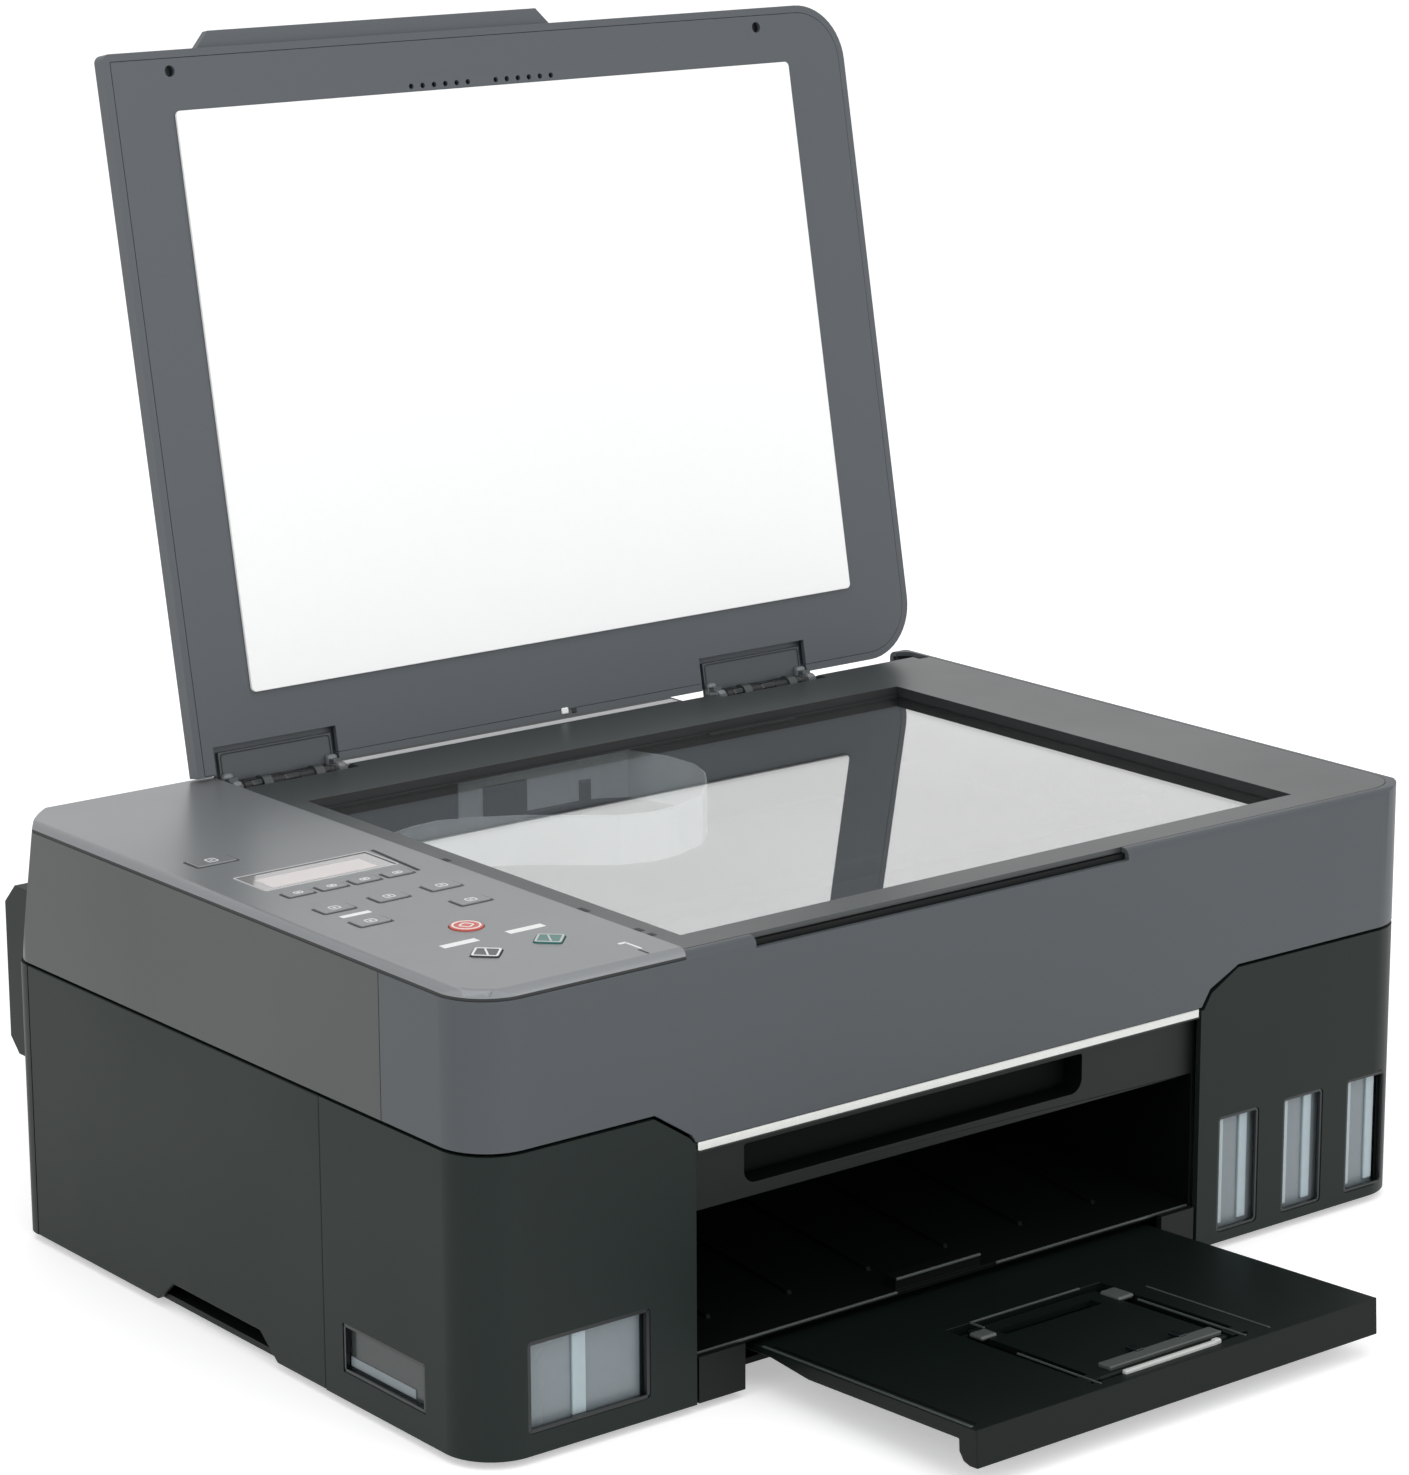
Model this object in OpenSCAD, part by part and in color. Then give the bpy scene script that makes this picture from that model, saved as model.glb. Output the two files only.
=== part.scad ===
// Ink-tank multifunction inkjet printer with flatbed scanner.
// Built from the front left corner of the casing: X to the right,
// Y to the back, Z up from the desk. place() centres it on its footprint.

/* [Casing] */
// Width of the casing
case_w = 445; // [430:1:460]
// Depth of the lower casing
case_d = 301; // [296:1:312]
// Depth of the scanner unit
scan_d = 299; // [297:0.5:300]
// Height of the joint line between casing and scanner unit
seam_z = 110.4; // [108:0.2:112]
// Height of the scanner deck
deck_z = 166.2; // [162:0.2:168]
// Wall thickness of the covers
wall = 2.4; // [2:0.1:2.8]
// Plan radius of the front corners
corner_r = 20; // [14:1:24]
// Plan radius of the rear corners
rear_r = 10; // [6:1:12]
// Rounding along the top edge
edge_r = 3; // [1.5:0.5:4]
// Open joint between lower covers and scanner covers
seam_gap = 1.2; // [0.8:0.1:1.6]
// Height of the rubber feet
foot_h = 3; // [2:0.5:3.5]
// Radius of the rubber feet
foot_r = 8; // [6:0.5:10]
// Distance of the front joint of the side covers from the front
side_seam_y = 92; // [90:0.5:94]
// Distance of the rear joint of the side covers from the back
rear_seam = 12; // [11:0.5:14]
// Free fit between neighbouring parts
fit = 0.3; // [0.3:0.05:0.4]

/* [Output bay] */
// Width of the left ink tank cover
left_cover_w = 92; // [86:1:94]
// Width of the right ink tank cover
right_cover_w = 114; // [112:1:118]
// Height of the front strips beside the tray
strip_h = 20; // [18:0.5:21]
// Width of the front strips
strip_w = 20.5; // [16:0.5:22]
// Height of the fascia's lower edge over the bay
fascia_z = 98.3; // [97.6:0.1:99]
// Height of the bright trim bar
trim_h = 4.2; // [3:0.1:4.6]
// Lower edge of the inner cross bar
bar_z = 71.5; // [68:0.5:74]
// Length of the slot in the cross bar
slot_l = 158.5; // [120:0.5:170]

/* [Ink windows] */
// Width of the black ink window
win_w = 51.7; // [44:0.1:53]
// Height of the black ink window
win_h = 33; // [26:0.5:36]
// Lower edge of the black ink window
win_z = 10.8; // [9:0.2:14]
// Left end of the black ink window
win_x = 20; // [20:0.5:24]
// Width of the side window
side_win_w = 49.4; // [40:0.2:52]
// Height of the side window
side_win_h = 18; // [12:0.5:20]
// Width of each colour ink window
cwin_w = 21.6; // [16:0.2:23]
// Height of each colour ink window
cwin_h = 46; // [34:0.5:48]
// Pitch of the colour ink windows and tanks
cwin_p = 34.6; // [34.2:0.2:35]
// Height of the ink tanks
tank_h = 70; // [60:1:74]

/* [Tray] */
// Width of the output tray
tray_w = 190; // [170:1:196]
// Reach of the pulled out tray in front of the casing
tray_out = 107; // [90:1:112]
// Part of the tray that stays in the casing
tray_in = 26; // [22:1:30]
// Thickness of the tray plate
tray_t = 2.4; // [2:0.1:2.8]
// Upward tilt of the tray in degrees
tray_tilt = 3; // [2.4:0.1:3.2]
// Height of the tray's front lip
lip_h = 13.5; // [9:0.5:14]
// Length of the paper stopper
stop_l = 66; // [48:1:68]
// Width of the paper stopper
stop_w = 66; // [44:1:70]

/* [Document cover] */
// Angle at which the cover stands open
lid_open = 100.8; // [95:0.2:104]
// Distance of the cover's hinge line from the scanner's back
lid_axis_b = 14.7; // [14:0.1:16]
// Left edge of the cover
lid_x0 = 78; // [76:0.2:80]
// Margin of the cover on the right
lid_margin = 4.8; // [4:0.2:8]
// Gap between the cover's front edge and the front of the casing
lid_front = 1.2; // [0.6:0.1:4]
// Distance of the cover's rear edge from its hinge line
lid_rear = 3.8; // [3.4:0.1:5]
// Thickness of the cover
lid_t = 6.5; // [6:0.1:8]
// Radius of the cover's right corners
lid_r = 24; // [14:1:28]
// Thickness of the white pad
pad_t = 1.5; // [1:0.1:1.5]
// Width of the white pad
pad_w = 302; // [290:1:304]
// Depth of the white pad
pad_d = 224; // [216:1:228]
// Reach of the finger tab
tab_out = 6.5; // [3:0.5:8]
// Length of the finger tab
tab_l = 170; // [120:1:180]

/* [Scanner] */
// Width of the glass opening
glass_w = 294.7; // [290:0.1:296]
// Depth of the glass opening
glass_d = 228.9; // [222:0.1:230]
// Left edge of the glass opening
glass_x = 99.4; // [99:0.2:102]
// Front edge of the glass opening
glass_y = 17.7; // [17:0.1:20]
// Thickness of the glass
glass_t = 3; // [2.4:0.1:3.2]
// Width of the scan bar
cis_w = 15; // [12:0.5:16]
// Height of the scanner unit's hinge pins
scan_hinge_z = 150; // [149:0.5:151]
// Diameter of the scanner's hinge pins
hinge_pin_d = 6; // [5:0.5:7]
// Diameter of the document cover's hinge pins
lid_pin_d = 4; // [3:0.2:4.4]
// Radial play of pins in their bores
play = 0.05; // [0.03:0.01:0.08]

/* [Operation panel] */
// Width of the operation panel
panel_w = 88; // [86:0.5:88.4]
// Height of the panel's surface over the deck
panel_up = 1.5; // [1.2:0.1:1.5]
// Thickness of the panel plate
panel_t = 3.7; // [3.2:0.1:4]
// Width of the display
lcd_w = 55.4; // [48:0.2:57]
// Depth of the display
lcd_d = 20.3; // [16:0.1:22]
// Travel of the keys
key_travel = 0.8; // [0.5:0.1:1]
// Height of the keys over the panel
key_up = 0.5; // [0.3:0.1:0.8]

/* [Paper feed] */
// Distance of the rear feed's back from the casing's back
feed_out = 28; // [26:1:32]
// Height of the feed housing's ends
feed_z = 132; // [128:1:136]
// Height of the raised feed housing and its support
support_z = 156; // [155.5:0.5:156.5]
// Width of the paper support
support_w = 268; // [240:1:270]
// Width of the paper path
path_w = 226; // [222:1:228]
// Radius of the transport rollers
roller_r = 5.5; // [5:0.1:6]
// Radius of the pick-up roller tyres
tyre_r = 14; // [12:0.5:14.5]
// Diameter of the roller shafts
shaft_d = 6; // [5:0.5:6.5]
// Width of the print carriage
carriage_w = 96; // [86:1:100]
// Radius of the belt pulleys
pulley_r = 8; // [7:0.5:8.5]

/* [Hidden] */
$fn = 64;

// levels and derived places
floor_z = foot_h + 2.4;
bay_l = left_cover_w;
bay_r = case_w - right_cover_w;
cover_top = seam_z;
scan_bot = seam_z + seam_gap;
panel_z = deck_z + panel_up;
lip_z = panel_z - panel_t;
plate_t = 2;
rim_t = 2.2;
glass_top = deck_z - plate_t - rim_t - 0.1;
glass_end = glass_y + glass_d;
tub_z = scan_bot + 1.3;
tub_top = deck_z - plate_t - fit;
lid_ay = scan_d - lid_axis_b;
lid_az = deck_z - 2.2;
lid_in = panel_z + fit - lid_az;
lid_x1 = case_w - lid_margin;
lid_y0 = lid_front - lid_ay;
lid_y1 = -lid_rear;
step_y = lid_ay + lid_y1 - 1.5;
notch_u = (lid_in + (lid_in + lid_t) * sin(lid_open - 90)) / cos(lid_open - 90)
  - lid_rear + fit;
lid_hx = [panel_w + 2.4, lid_x1 - 112];
bay_mid = (bay_l + bay_r) / 2;
path_l = bay_mid - path_w / 2;
path_r = bay_mid + path_w / 2;
slot_x = bay_l + 24.5;
tray_l = bay_l + 30;
tray_mid = tray_l + tray_w / 2;
tray_z = strip_h - 4.5;
flange_h = tray_z - floor_z - 4.9;
hinge_y = case_d + 7;
scan_pin_r = hinge_pin_d / 2;
ear_t = 4;
lug_w = 15;
roller_z = 34.5;
feed_y = 222;
eject_y = 112;
pick_y = 276;
pick_z = 66;
plate_x0 = bay_l - 6;
plate_x1 = bay_r + 3;
back_y = case_d + feed_out;
end_x = 14;
sup_l = bay_mid - support_w / 2 - 10.5;
sup_r = sup_l + support_w;
sup_hy = back_y - 7;
sup_hz = 74;
hinge_px = [46, case_w - 46 - lug_w - 2 * ear_t - 2 * fit];
belt_z = 86;
belt_y = 233;
rail_y = 240;
rail_x0 = 26;
rail_x1 = case_w - 26;
motor_x = rail_x0 + 16;
idler_x = rail_x1 - 16;
carr_x = case_w - 121;
corner_x = 24;
screw_x = [20, case_w / 2, case_w - 20];
lid_top_y = lid_ay + (tab_out - lid_y0) * sin(lid_open - 90);
y_max = lid_top_y + (lid_in + lid_t) * cos(lid_open - 90);
y_min = 6 - (tray_out + 9) * cos(tray_tilt) - lip_h * sin(tray_tilt);
org_y = (y_min + y_max) / 2;

black = "#2b302f";
grey = "#5d6164";
lightgrey = "#8b8f90";
white = "#f2f3f1";
steel = "#a9adb0";

module place() translate([-case_w / 2, -org_y, 0]) children();

function corner(x, y, ax, ay, bx, by, r) =
  r > 0 ? [[x + ax * r, y + ay * r], [x + bx * r, y + by * r]] : [[x, y]];

// rounded rectangle, radii in order front left, front right, rear right, rear left
module rr(x0, y0, x1, y1, r) {
  polygon(concat(
    corner(x0, y0, 0, 1, 1, 0, r[0]),
    corner(x1, y0, -1, 0, 0, 1, r[1]),
    corner(x1, y1, 0, -1, -1, 0, r[2]),
    corner(x0, y1, 1, 0, 0, -1, r[3])));
  if (r[0] > 0) translate([x0 + r[0], y0 + r[0]]) circle(r[0]);
  if (r[1] > 0) translate([x1 - r[1], y0 + r[1]]) circle(r[1]);
  if (r[2] > 0) translate([x1 - r[2], y1 - r[2]]) circle(r[2]);
  if (r[3] > 0) translate([x0 + r[3], y1 - r[3]]) circle(r[3]);
}

module box(x0, y0, z0, x1, y1, z1) {
  translate([x0, y0, z0]) cube([x1 - x0, y1 - y0, z1 - z0]);
}

// extrusion along X of a profile given as [y, z] points
module along_x(x0, x1) {
  translate([x0, 0, 0]) rotate([90, 0, 90]) linear_extrude(x1 - x0) children();
}

// extrusion along Y of a profile given as [x, z] points
module along_y(y0, y1) {
  translate([0, y1, 0]) rotate([90, 0, 0]) linear_extrude(y1 - y0) children();
}

module rod_x(x0, x1, y, z, r) {
  translate([x0, y, z]) rotate([0, 90, 0]) cylinder(h = x1 - x0, r = r);
}

module rod_y(x, y0, y1, z, r) {
  translate([x, y0, z]) rotate([-90, 0, 0]) cylinder(h = y1 - y0, r = r);
}

module outline(d, i) {
  rr(i, i, case_w - i, d - i,
    [corner_r - i, corner_r - i, rear_r - i, rear_r - i]);
}

// skin of the casing between two heights
module skin(d, z0, z1, t = wall) {
  translate([0, 0, z0]) linear_extrude(z1 - z0) difference() {
    outline(d, 0);
    outline(d, t);
  }
}

// what the rear left corner of the scanner unit loses as its radius grows
// towards the top, for a surface that lies i inside the skin
module dome(i) {
  h = panel_z + 1 - seam_z;
  difference() {
    box(-2, scan_d - 40, seam_z, 40, scan_d + 2, panel_z + 1);
    translate([60, scan_d - 60, seam_z - 1])
      cylinder(h = h + 2, r1 = 80.8 - i, r2 = 72.6 - i);
  }
}

/* ---------- lower casing ---------- */

module base_frame() color(black) place() {
  side = [[95, foot_h], [262, foot_h], [290, foot_h], [292, 58], [292, 76],
    [262, 76], [258, 42], [95, 42]];
  difference() {
    union() {
      translate([0, 0, foot_h]) linear_extrude(floor_z - foot_h)
        outline(case_d, wall + fit);
      // front strips beside the tray
      box(bay_l + 1, 0.4, foot_h, bay_l + 1 + strip_w, 3, strip_h);
      box(tray_l + tray_w + 1.2, 0.4, foot_h, bay_r - 1, 3, strip_h);
      // plates that hold the roller shafts
      for (x = [plate_x0, plate_x1]) along_x(x, x + 3) polygon(side);
      // posts under the carriage rail
      box(rail_x0 - 12, rail_y - 11, foot_h, rail_x0 - 2, rail_y + 12, 104);
      box(rail_x1 + 2, rail_y - 11, foot_h, rail_x1 + 12, rail_y + 12, 104);
      box(rail_x0 - 12, rail_y - 11, foot_h, rail_x0 + 6, rail_y + 12, 59.7);
      box(rail_x1 - 6, rail_y - 11, foot_h, rail_x1 + 12, rail_y + 12, 59.7);
      // bosses of the rear screws
      for (x = screw_x) box(x - 5, case_d - 11, foot_h, x + 5, case_d - wall - fit, 56);
      // sloping runners under the tray
      for (x = [tray_l + 3, tray_l + tray_w - 7])
        along_x(x, x + 4) polygon([[20, foot_h], [130, foot_h],
          [130, tray_z - tray_t - fit - 124 * tan(tray_tilt)],
          [20, tray_z - tray_t - fit - 14 * tan(tray_tilt)]]);
      // rails at the sides of the tray
      for (x = [tray_l - fit - 5, tray_l + tray_w + fit])
        box(x, 20, foot_h, x + 5, 110, strip_h - 2.6);
    }
    // opening for the tray's lip
    box(bay_l + 1 + strip_w, -1, 0, tray_l + tray_w + 1.2, 18, floor_z + 1);
    for (p = [[feed_y, roller_z], [eject_y, roller_z], [pick_y, pick_z]])
      rod_x(plate_x0 - 2, plate_x1 + 5, p[0], p[1], shaft_d / 2 + play);
    for (x = screw_x) rod_y(x, case_d - 9, case_d, 50, 1.5 + play);
  }
}

module rubber_feet() color("#1c1d1e") place()
  for (x = [34, case_w - 34], y = [34, case_d - 34])
    translate([x, y, 0]) cylinder(h = foot_h, r = foot_r);

module left_side_cover() color(black) place() difference() {
  intersection() {
    skin(case_d, foot_h, cover_top);
    box(-1, side_seam_y + 0.15, 0, 60, case_d - rear_seam, 200);
  }
  // hand hold at the lower edge
  along_x(-1, 20) polygon([[123, 0], [203, 0], [203, foot_h], [192, 12],
    [134, 12], [123, foot_h]]);
}

module right_side_cover() color(black) place() difference() {
  intersection() {
    skin(case_d, foot_h, cover_top);
    box(case_w - 60, side_seam_y + 0.15, 0, case_w + 1, case_d - rear_seam, 200);
  }
  along_x(case_w - 20, case_w + 1) polygon([[123, 0], [203, 0],
    [203, foot_h], [192, 12], [134, 12], [123, foot_h]]);
}

module rear_cover() color(black) place() {
  difference() {
    union() {
      intersection() {
        skin(case_d, foot_h, cover_top);
        box(-1, case_d - rear_seam + fit, 0, case_w + 1, case_d + 1, 200);
      }
      // housing of the rear feed
      along_x(end_x, case_w - end_x) polygon([[case_d - 0.1, 64],
        [back_y - 6, 64], [back_y, 70], [back_y, feed_z - 8],
        [back_y - 8, feed_z], [case_d + 2, feed_z], [case_d + 2, cover_top],
        [case_d - 0.1, cover_top]]);
      // raised blocks that hold the scanner's hinges
      for (i = [0, 1]) along_x([34, path_r + 2][i], [path_l - 2, case_w - 34][i])
        polygon([[case_d + 1.8, feed_z - 6], [case_d + 13.3, feed_z - 6],
          [case_d + 13.3, support_z - 3.2], [case_d + 10.3, support_z - 3.2],
          [case_d + 9.8, support_z - 1], [case_d + 1.8, support_z - 1.5]]);
      // front wall of the paper slot
      box(path_l - 3, case_d + 1.8, feed_z - 6, path_r + 3, case_d + 3.6,
        support_z - 8.5);
    }
    // hollow of the housing, left and right of the paper path
    for (i = [0, 1]) box([end_x + wall, path_r + wall][i], case_d - wall - 1,
      66.4, [path_l - wall, case_w - end_x - wall][i], case_d + 13.3, feed_z - 10);
    for (i = [0, 1]) box([end_x + wall, sup_r + fit + 4][i], case_d + 10,
      66.4, [sup_l - fit - 4, case_w - end_x - wall][i], back_y - wall,
      feed_z - 10);
    // paper slot with its sloping chute
    along_x(path_l, path_r) polygon([[case_d + 3.6, 200], [case_d + 3.6, 108],
      [case_d - 4, 100], [case_d - 4, 72], [case_d + 1, 74],
      [case_d + 13.3, 100], [case_d + 13.3, 200]]);
    along_x(path_l, path_r) polygon([[case_d - 4, 66.4], [case_d + 13.3, 66.4],
      [case_d + 13.3, 94], [case_d + 2, 70.5], [case_d - 4, 69]]);
    // room for the paper support
    box(sup_l - fit, back_y - 12.3, 70, sup_r + fit, back_y + 1, 200);
    rod_x(sup_l - 4.5, sup_r + 4.5, sup_hy, sup_hz, 3 + play);
    // pockets of the scanner's hinges
    for (x = hinge_px) {
      box(x + ear_t, case_d - 2, scan_hinge_z - 10, x + ear_t + lug_w + 2 * fit,
        case_d + 15, 200);
      rod_x(x - 0.5, x + lug_w + 2 * ear_t + 2 * fit + 0.5, hinge_y,
        scan_hinge_z, scan_pin_r + play);
    }
    for (x = screw_x) rod_y(x, case_d - 5, case_d + 3, 50, 1.7);
    // mains inlet and data socket
    box(30, case_d - 5, 20, 52, case_d + 1, 32);
    box(70, case_d - 5, 20, 81.4, case_d + 1, 32);
  }
}

module win_cut(x0, x1, z0, z1) translate([0, wall + 1, 0]) rotate([90, 0, 0])
  linear_extrude(wall + 2) rr(x0, z0, x1, z1, [1.8, 1.8, 1.8, 1.8]);

module left_tank_cover() color(black) place() difference() {
  union() {
    intersection() {
      skin(case_d, foot_h, cover_top);
      box(-1, -1, 0, bay_l - 0.2, side_seam_y - 0.15, 200);
    }
    // frame behind the window
    difference() {
      box(win_x - 2, wall - 0.1, win_z - 3, win_x + win_w + 3, wall + 1.2,
        win_z + win_h + 3);
      box(win_x + 1, 0, win_z, win_x + win_w - 2, 9, win_z + win_h);
    }
  }
  win_cut(win_x, win_x + win_w, win_z, win_z + win_h);
  box(-1, 31.3, 13.4, wall + 1, 31.3 + side_win_w, 13.4 + side_win_h);
  // sloping upper corner towards the bay
  along_y(-1, wall + 1) polygon([[73, cover_top + 1], [74, cover_top],
    [bay_l - 3, fascia_z + 2.2], [bay_l + 1, fascia_z - 2],
    [bay_l + 1, cover_top + 1]]);
}

module right_tank_cover() color(black) place() difference() {
  intersection() {
    skin(case_d, foot_h, cover_top);
    box(bay_r + 0.2, -1, 0, case_w + 1, side_seam_y - 0.15, 200);
  }
  for (i = [0 : 2])
    win_cut(bay_r + 10.6 + i * cwin_p, bay_r + 10.6 + i * cwin_p + cwin_w,
      7, 7 + cwin_h);
  along_y(-1, wall + 1) polygon([[bay_r - 1, cover_top + 1],
    [bay_r - 1, fascia_z - 1.2], [bay_r + 1.6, fascia_z - 1.2],
    [bay_r + 5.4, fascia_z + 4.6], [bay_r + 19, cover_top], [bay_r + 20, cover_top + 1]]);
}

module tank(x0, x1, y1) {
  intersection() {
    translate([0, 0, floor_z + fit]) linear_extrude(tank_h)
      outline(case_d, wall + 1.6);
    box(x0, 0, 0, x1, y1, 200);
  }
}

module black_ink_tank() color("#cfd6dc") place() {
  tank(0, bay_l - 8, side_seam_y - 4);
  translate([44, 40, floor_z + fit + tank_h - 0.1]) cylinder(h = 6.1, r = 9);
}

module colour_ink_tanks() color("#cfd6dc") place() for (i = [0 : 2]) {
  x = bay_r + 5.5 + i * cwin_p;
  tank(x, x + cwin_p - 1.4, side_seam_y - 4);
  translate([x + 14, 40, floor_z + fit + tank_h - 0.1]) cylinder(h = 6.1, r = 9);
}

module tank_caps() color("#303436") place() {
  z = floor_z + fit + tank_h + 6;
  for (x = [44, for (i = [0 : 2]) bay_r + 19.5 + i * cwin_p]) translate([x, 40, z]) {
    cylinder(h = 7, r = 10.5);
    translate([-2, 8, 3]) cube([4, 16, 2]);
  }
}

module inner_front_frame() color(black) place() {
  difference() {
    union() {
      box(bay_l - 2.4, 4.6, bar_z, bay_r + 2.4, 8, 94);
      box(slot_x - 2, 7.9, bar_z + 2.6, slot_x + slot_l + 2, 17, 94);
    }
    // finger recess with round lower ends
    translate([0, 15, 0]) rotate([90, 0, 0]) linear_extrude(11)
      rr(slot_x, bar_z + 4.8, slot_x + slot_l, 91, [5, 5, 1, 1]);
  }
  box(bay_l - 2.4, 4.6, 92, bay_r + 2.4, 140, 94);
  // side walls of the bay
  for (x = [bay_l - 2.4, bay_r + 0.2])
    box(x, 4.6, floor_z, x + 2.2, 94, 94);
  // carrier of the star wheels
  box(bay_l - 2.4, 104, 44.6, bay_r + 2.4, 120, 48);
  box(bay_mid - 100, 116, 48, bay_mid - 97, 118, 92);
  box(bay_mid + 97, 116, 48, bay_mid + 100, 118, 92);
  for (i = [-3 : 3]) box(bay_mid + i * 30 - 3, 108, 41.2, bay_mid + i * 30 + 3, 116, 45);
}

module output_floor() color("#232827") place() {
  along_x(bay_l + 0.2, bay_r - 0.2) polygon([[4.8, 18.1], [22, 17.8],
    [102, 25.6], [102, 28], [22, 20.4], [4.8, 19.9]]);
  for (x = [bay_l + 0.2, bay_r - 3.2])
    along_x(x, x + 3) polygon([[16, floor_z], [102, floor_z], [102, 26],
      [22, 18.4], [16, 18]]);
  // raised middle rib at the front edge
  box(bay_mid - 24.5, 6, 18.4, bay_mid + 16, 12, 24.4);
  for (i = [0 : 5]) let (x = bay_l + 24 + i * (bay_r - bay_l - 54) / 5) along_x(x, x + 2)
    polygon([[24, 18.5], [100, 26], [100, 29.4], [26, 22.2]]);
}

module print_platen() color("#1f2423") place() {
  box(bay_l + 0.4, 122, 34, bay_r - 0.4, 212, 37);
  for (x = [bay_l + 0.4, bay_r - 3.4]) box(x, 122, floor_z, x + 3, 212, 34.1);
  for (i = [0 : 10]) let (x = bay_l + 12 + i * (bay_r - bay_l - 29) / 10)
    box(x, 124, 36.9, x + 2, 210, 39.4);
}

module carriage_rail() color(steel) place() difference() {
  union() {
    box(rail_x0 - 1.6, rail_y, 60, rail_x1 + 1.6, rail_y + 1.6, 104);
    box(rail_x0 - 1.6, rail_y - 10, 60, rail_x1 + 1.6, rail_y + 1.6, 61.6);
    box(rail_x0 - 1.6, rail_y, 102.4, rail_x1 + 1.6, rail_y + 11, 104);
  }
  rod_y(motor_x, rail_y - 2, rail_y + 4, belt_z, 3.5);
  rod_y(idler_x, rail_y - 2, rail_y + 4, belt_z, 2 + play);
  for (i = [0 : 6]) rod_y(90 + i * 40, rail_y - 2, rail_y + 4, 95, 4);
}

module timing_belt() color("#26282a") place()
  translate([0, belt_y + 5, 0]) rotate([90, 0, 0]) linear_extrude(5) difference() {
    rr(motor_x - pulley_r - 1.3, belt_z - pulley_r - 1.3,
      idler_x + pulley_r + 1.3, belt_z + pulley_r + 1.3,
      [pulley_r + 1.3, pulley_r + 1.3, pulley_r + 1.3, pulley_r + 1.3]);
    rr(motor_x - pulley_r - fit, belt_z - pulley_r - fit,
      idler_x + pulley_r + fit, belt_z + pulley_r + fit,
      [pulley_r + fit, pulley_r + fit, pulley_r + fit, pulley_r + fit]);
  }

module purge_unit() color("#34393b") place() {
  box(plate_x1 + 10, 166, floor_z, plate_x1 + 78, 226, 30);
  box(plate_x1 + 18, 172, 30, plate_x1 + 44, 216, 41);
  box(plate_x1 + 48, 172, 30, plate_x1 + 72, 216, 41);
}

module main_board() color("#2f6b47") place() {
  box(12, 104, floor_z + 3, 78, 186, floor_z + 4.6);
  for (x = [14, 73], y = [106, 181]) box(x, y, floor_z, x + 3, y + 3, floor_z + 3.1);
  box(28, 124, floor_z + 4.5, 44, 140, floor_z + 7);
  box(52, 124, floor_z + 4.5, 60, 150, floor_z + 7);
  box(20, 160, floor_z + 4.5, 50, 166, floor_z + 12);
  translate([64, 170, floor_z + 4.5]) cylinder(h = 12, r = 4.5);
}

module power_supply() color("#3c4042") place() difference() {
  union() {
    box(34, 198, floor_z, 81, 284, 40);
    box(14, rail_y + 13, floor_z, 81, 284, 40);
    box(28, 283, 17, 54, case_d - wall - fit, 35);
    box(68, 283, 17, 81, case_d - wall - fit, 35);
  }
  // mouth of the mains inlet, then of the data socket
  box(31, case_d - 12, 21, 51, case_d + 1, 31);
  box(71, case_d - 10, 21, 80.4, case_d + 1, 31);
}

module tube_run(x0, x1, y, z) rod_x(x0, x1, y, z, 1.4);

module ink_tubes() color("#39434a") place() for (i = [0 : 3]) {
  y = 70 + i * 4;
  xe = [46, bay_r + 20, bay_r + 20 + cwin_p, bay_r + 20 + 2 * cwin_p][i];
  zt = floor_z + fit + tank_h;
  x0 = i == 0 ? xe : bay_mid + 10;
  x1 = i == 0 ? bay_mid - 10 : xe;
  tube_run(x0, x1, y, 95.8);
  translate([xe, y, zt]) cylinder(h = 95.8 - zt, r = 1.4);
  translate([xe, y, 95.8]) sphere(1.4);
}

module screw(x, y, z) translate([x, y, z]) rotate([-90, 0, 0]) difference() {
  union() {
    cylinder(h = 2, r = 3.5);
    translate([0, 0, -8]) cylinder(h = 8.1, r = 1.5);
  }
  translate([-0.5, -2.4, 1.2]) cube([1, 4.8, 2]);
  translate([-2.4, -0.5, 1.2]) cube([4.8, 1, 2]);
}

module case_screws() color(steel) place()
  for (x = screw_x) translate([0, fit / 2, 0]) screw(x, case_d, 50);

module drive_motors() color(steel) place() {
  rod_y(motor_x, rail_y + 1.8, rail_y + 24, belt_z, 15);
  translate([plate_x1 + 3.2, 120, 40]) rotate([0, 90, 0]) cylinder(h = 22, r = 15);
}

/* ---------- output tray ---------- */

// the tray is drawn flat, its front lip at the left of the profile,
// then tilted about the front edge of the bay
module tray_place() {
  translate([0, 6, tray_z]) rotate([-tray_tilt, 0, 0])
    translate([0, -6, 0]) children();
}

stop_y = 8 - tray_out;
well_x0 = tray_mid - stop_w / 2 - 4;
well_x1 = tray_mid + stop_w / 2 + 4;

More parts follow.
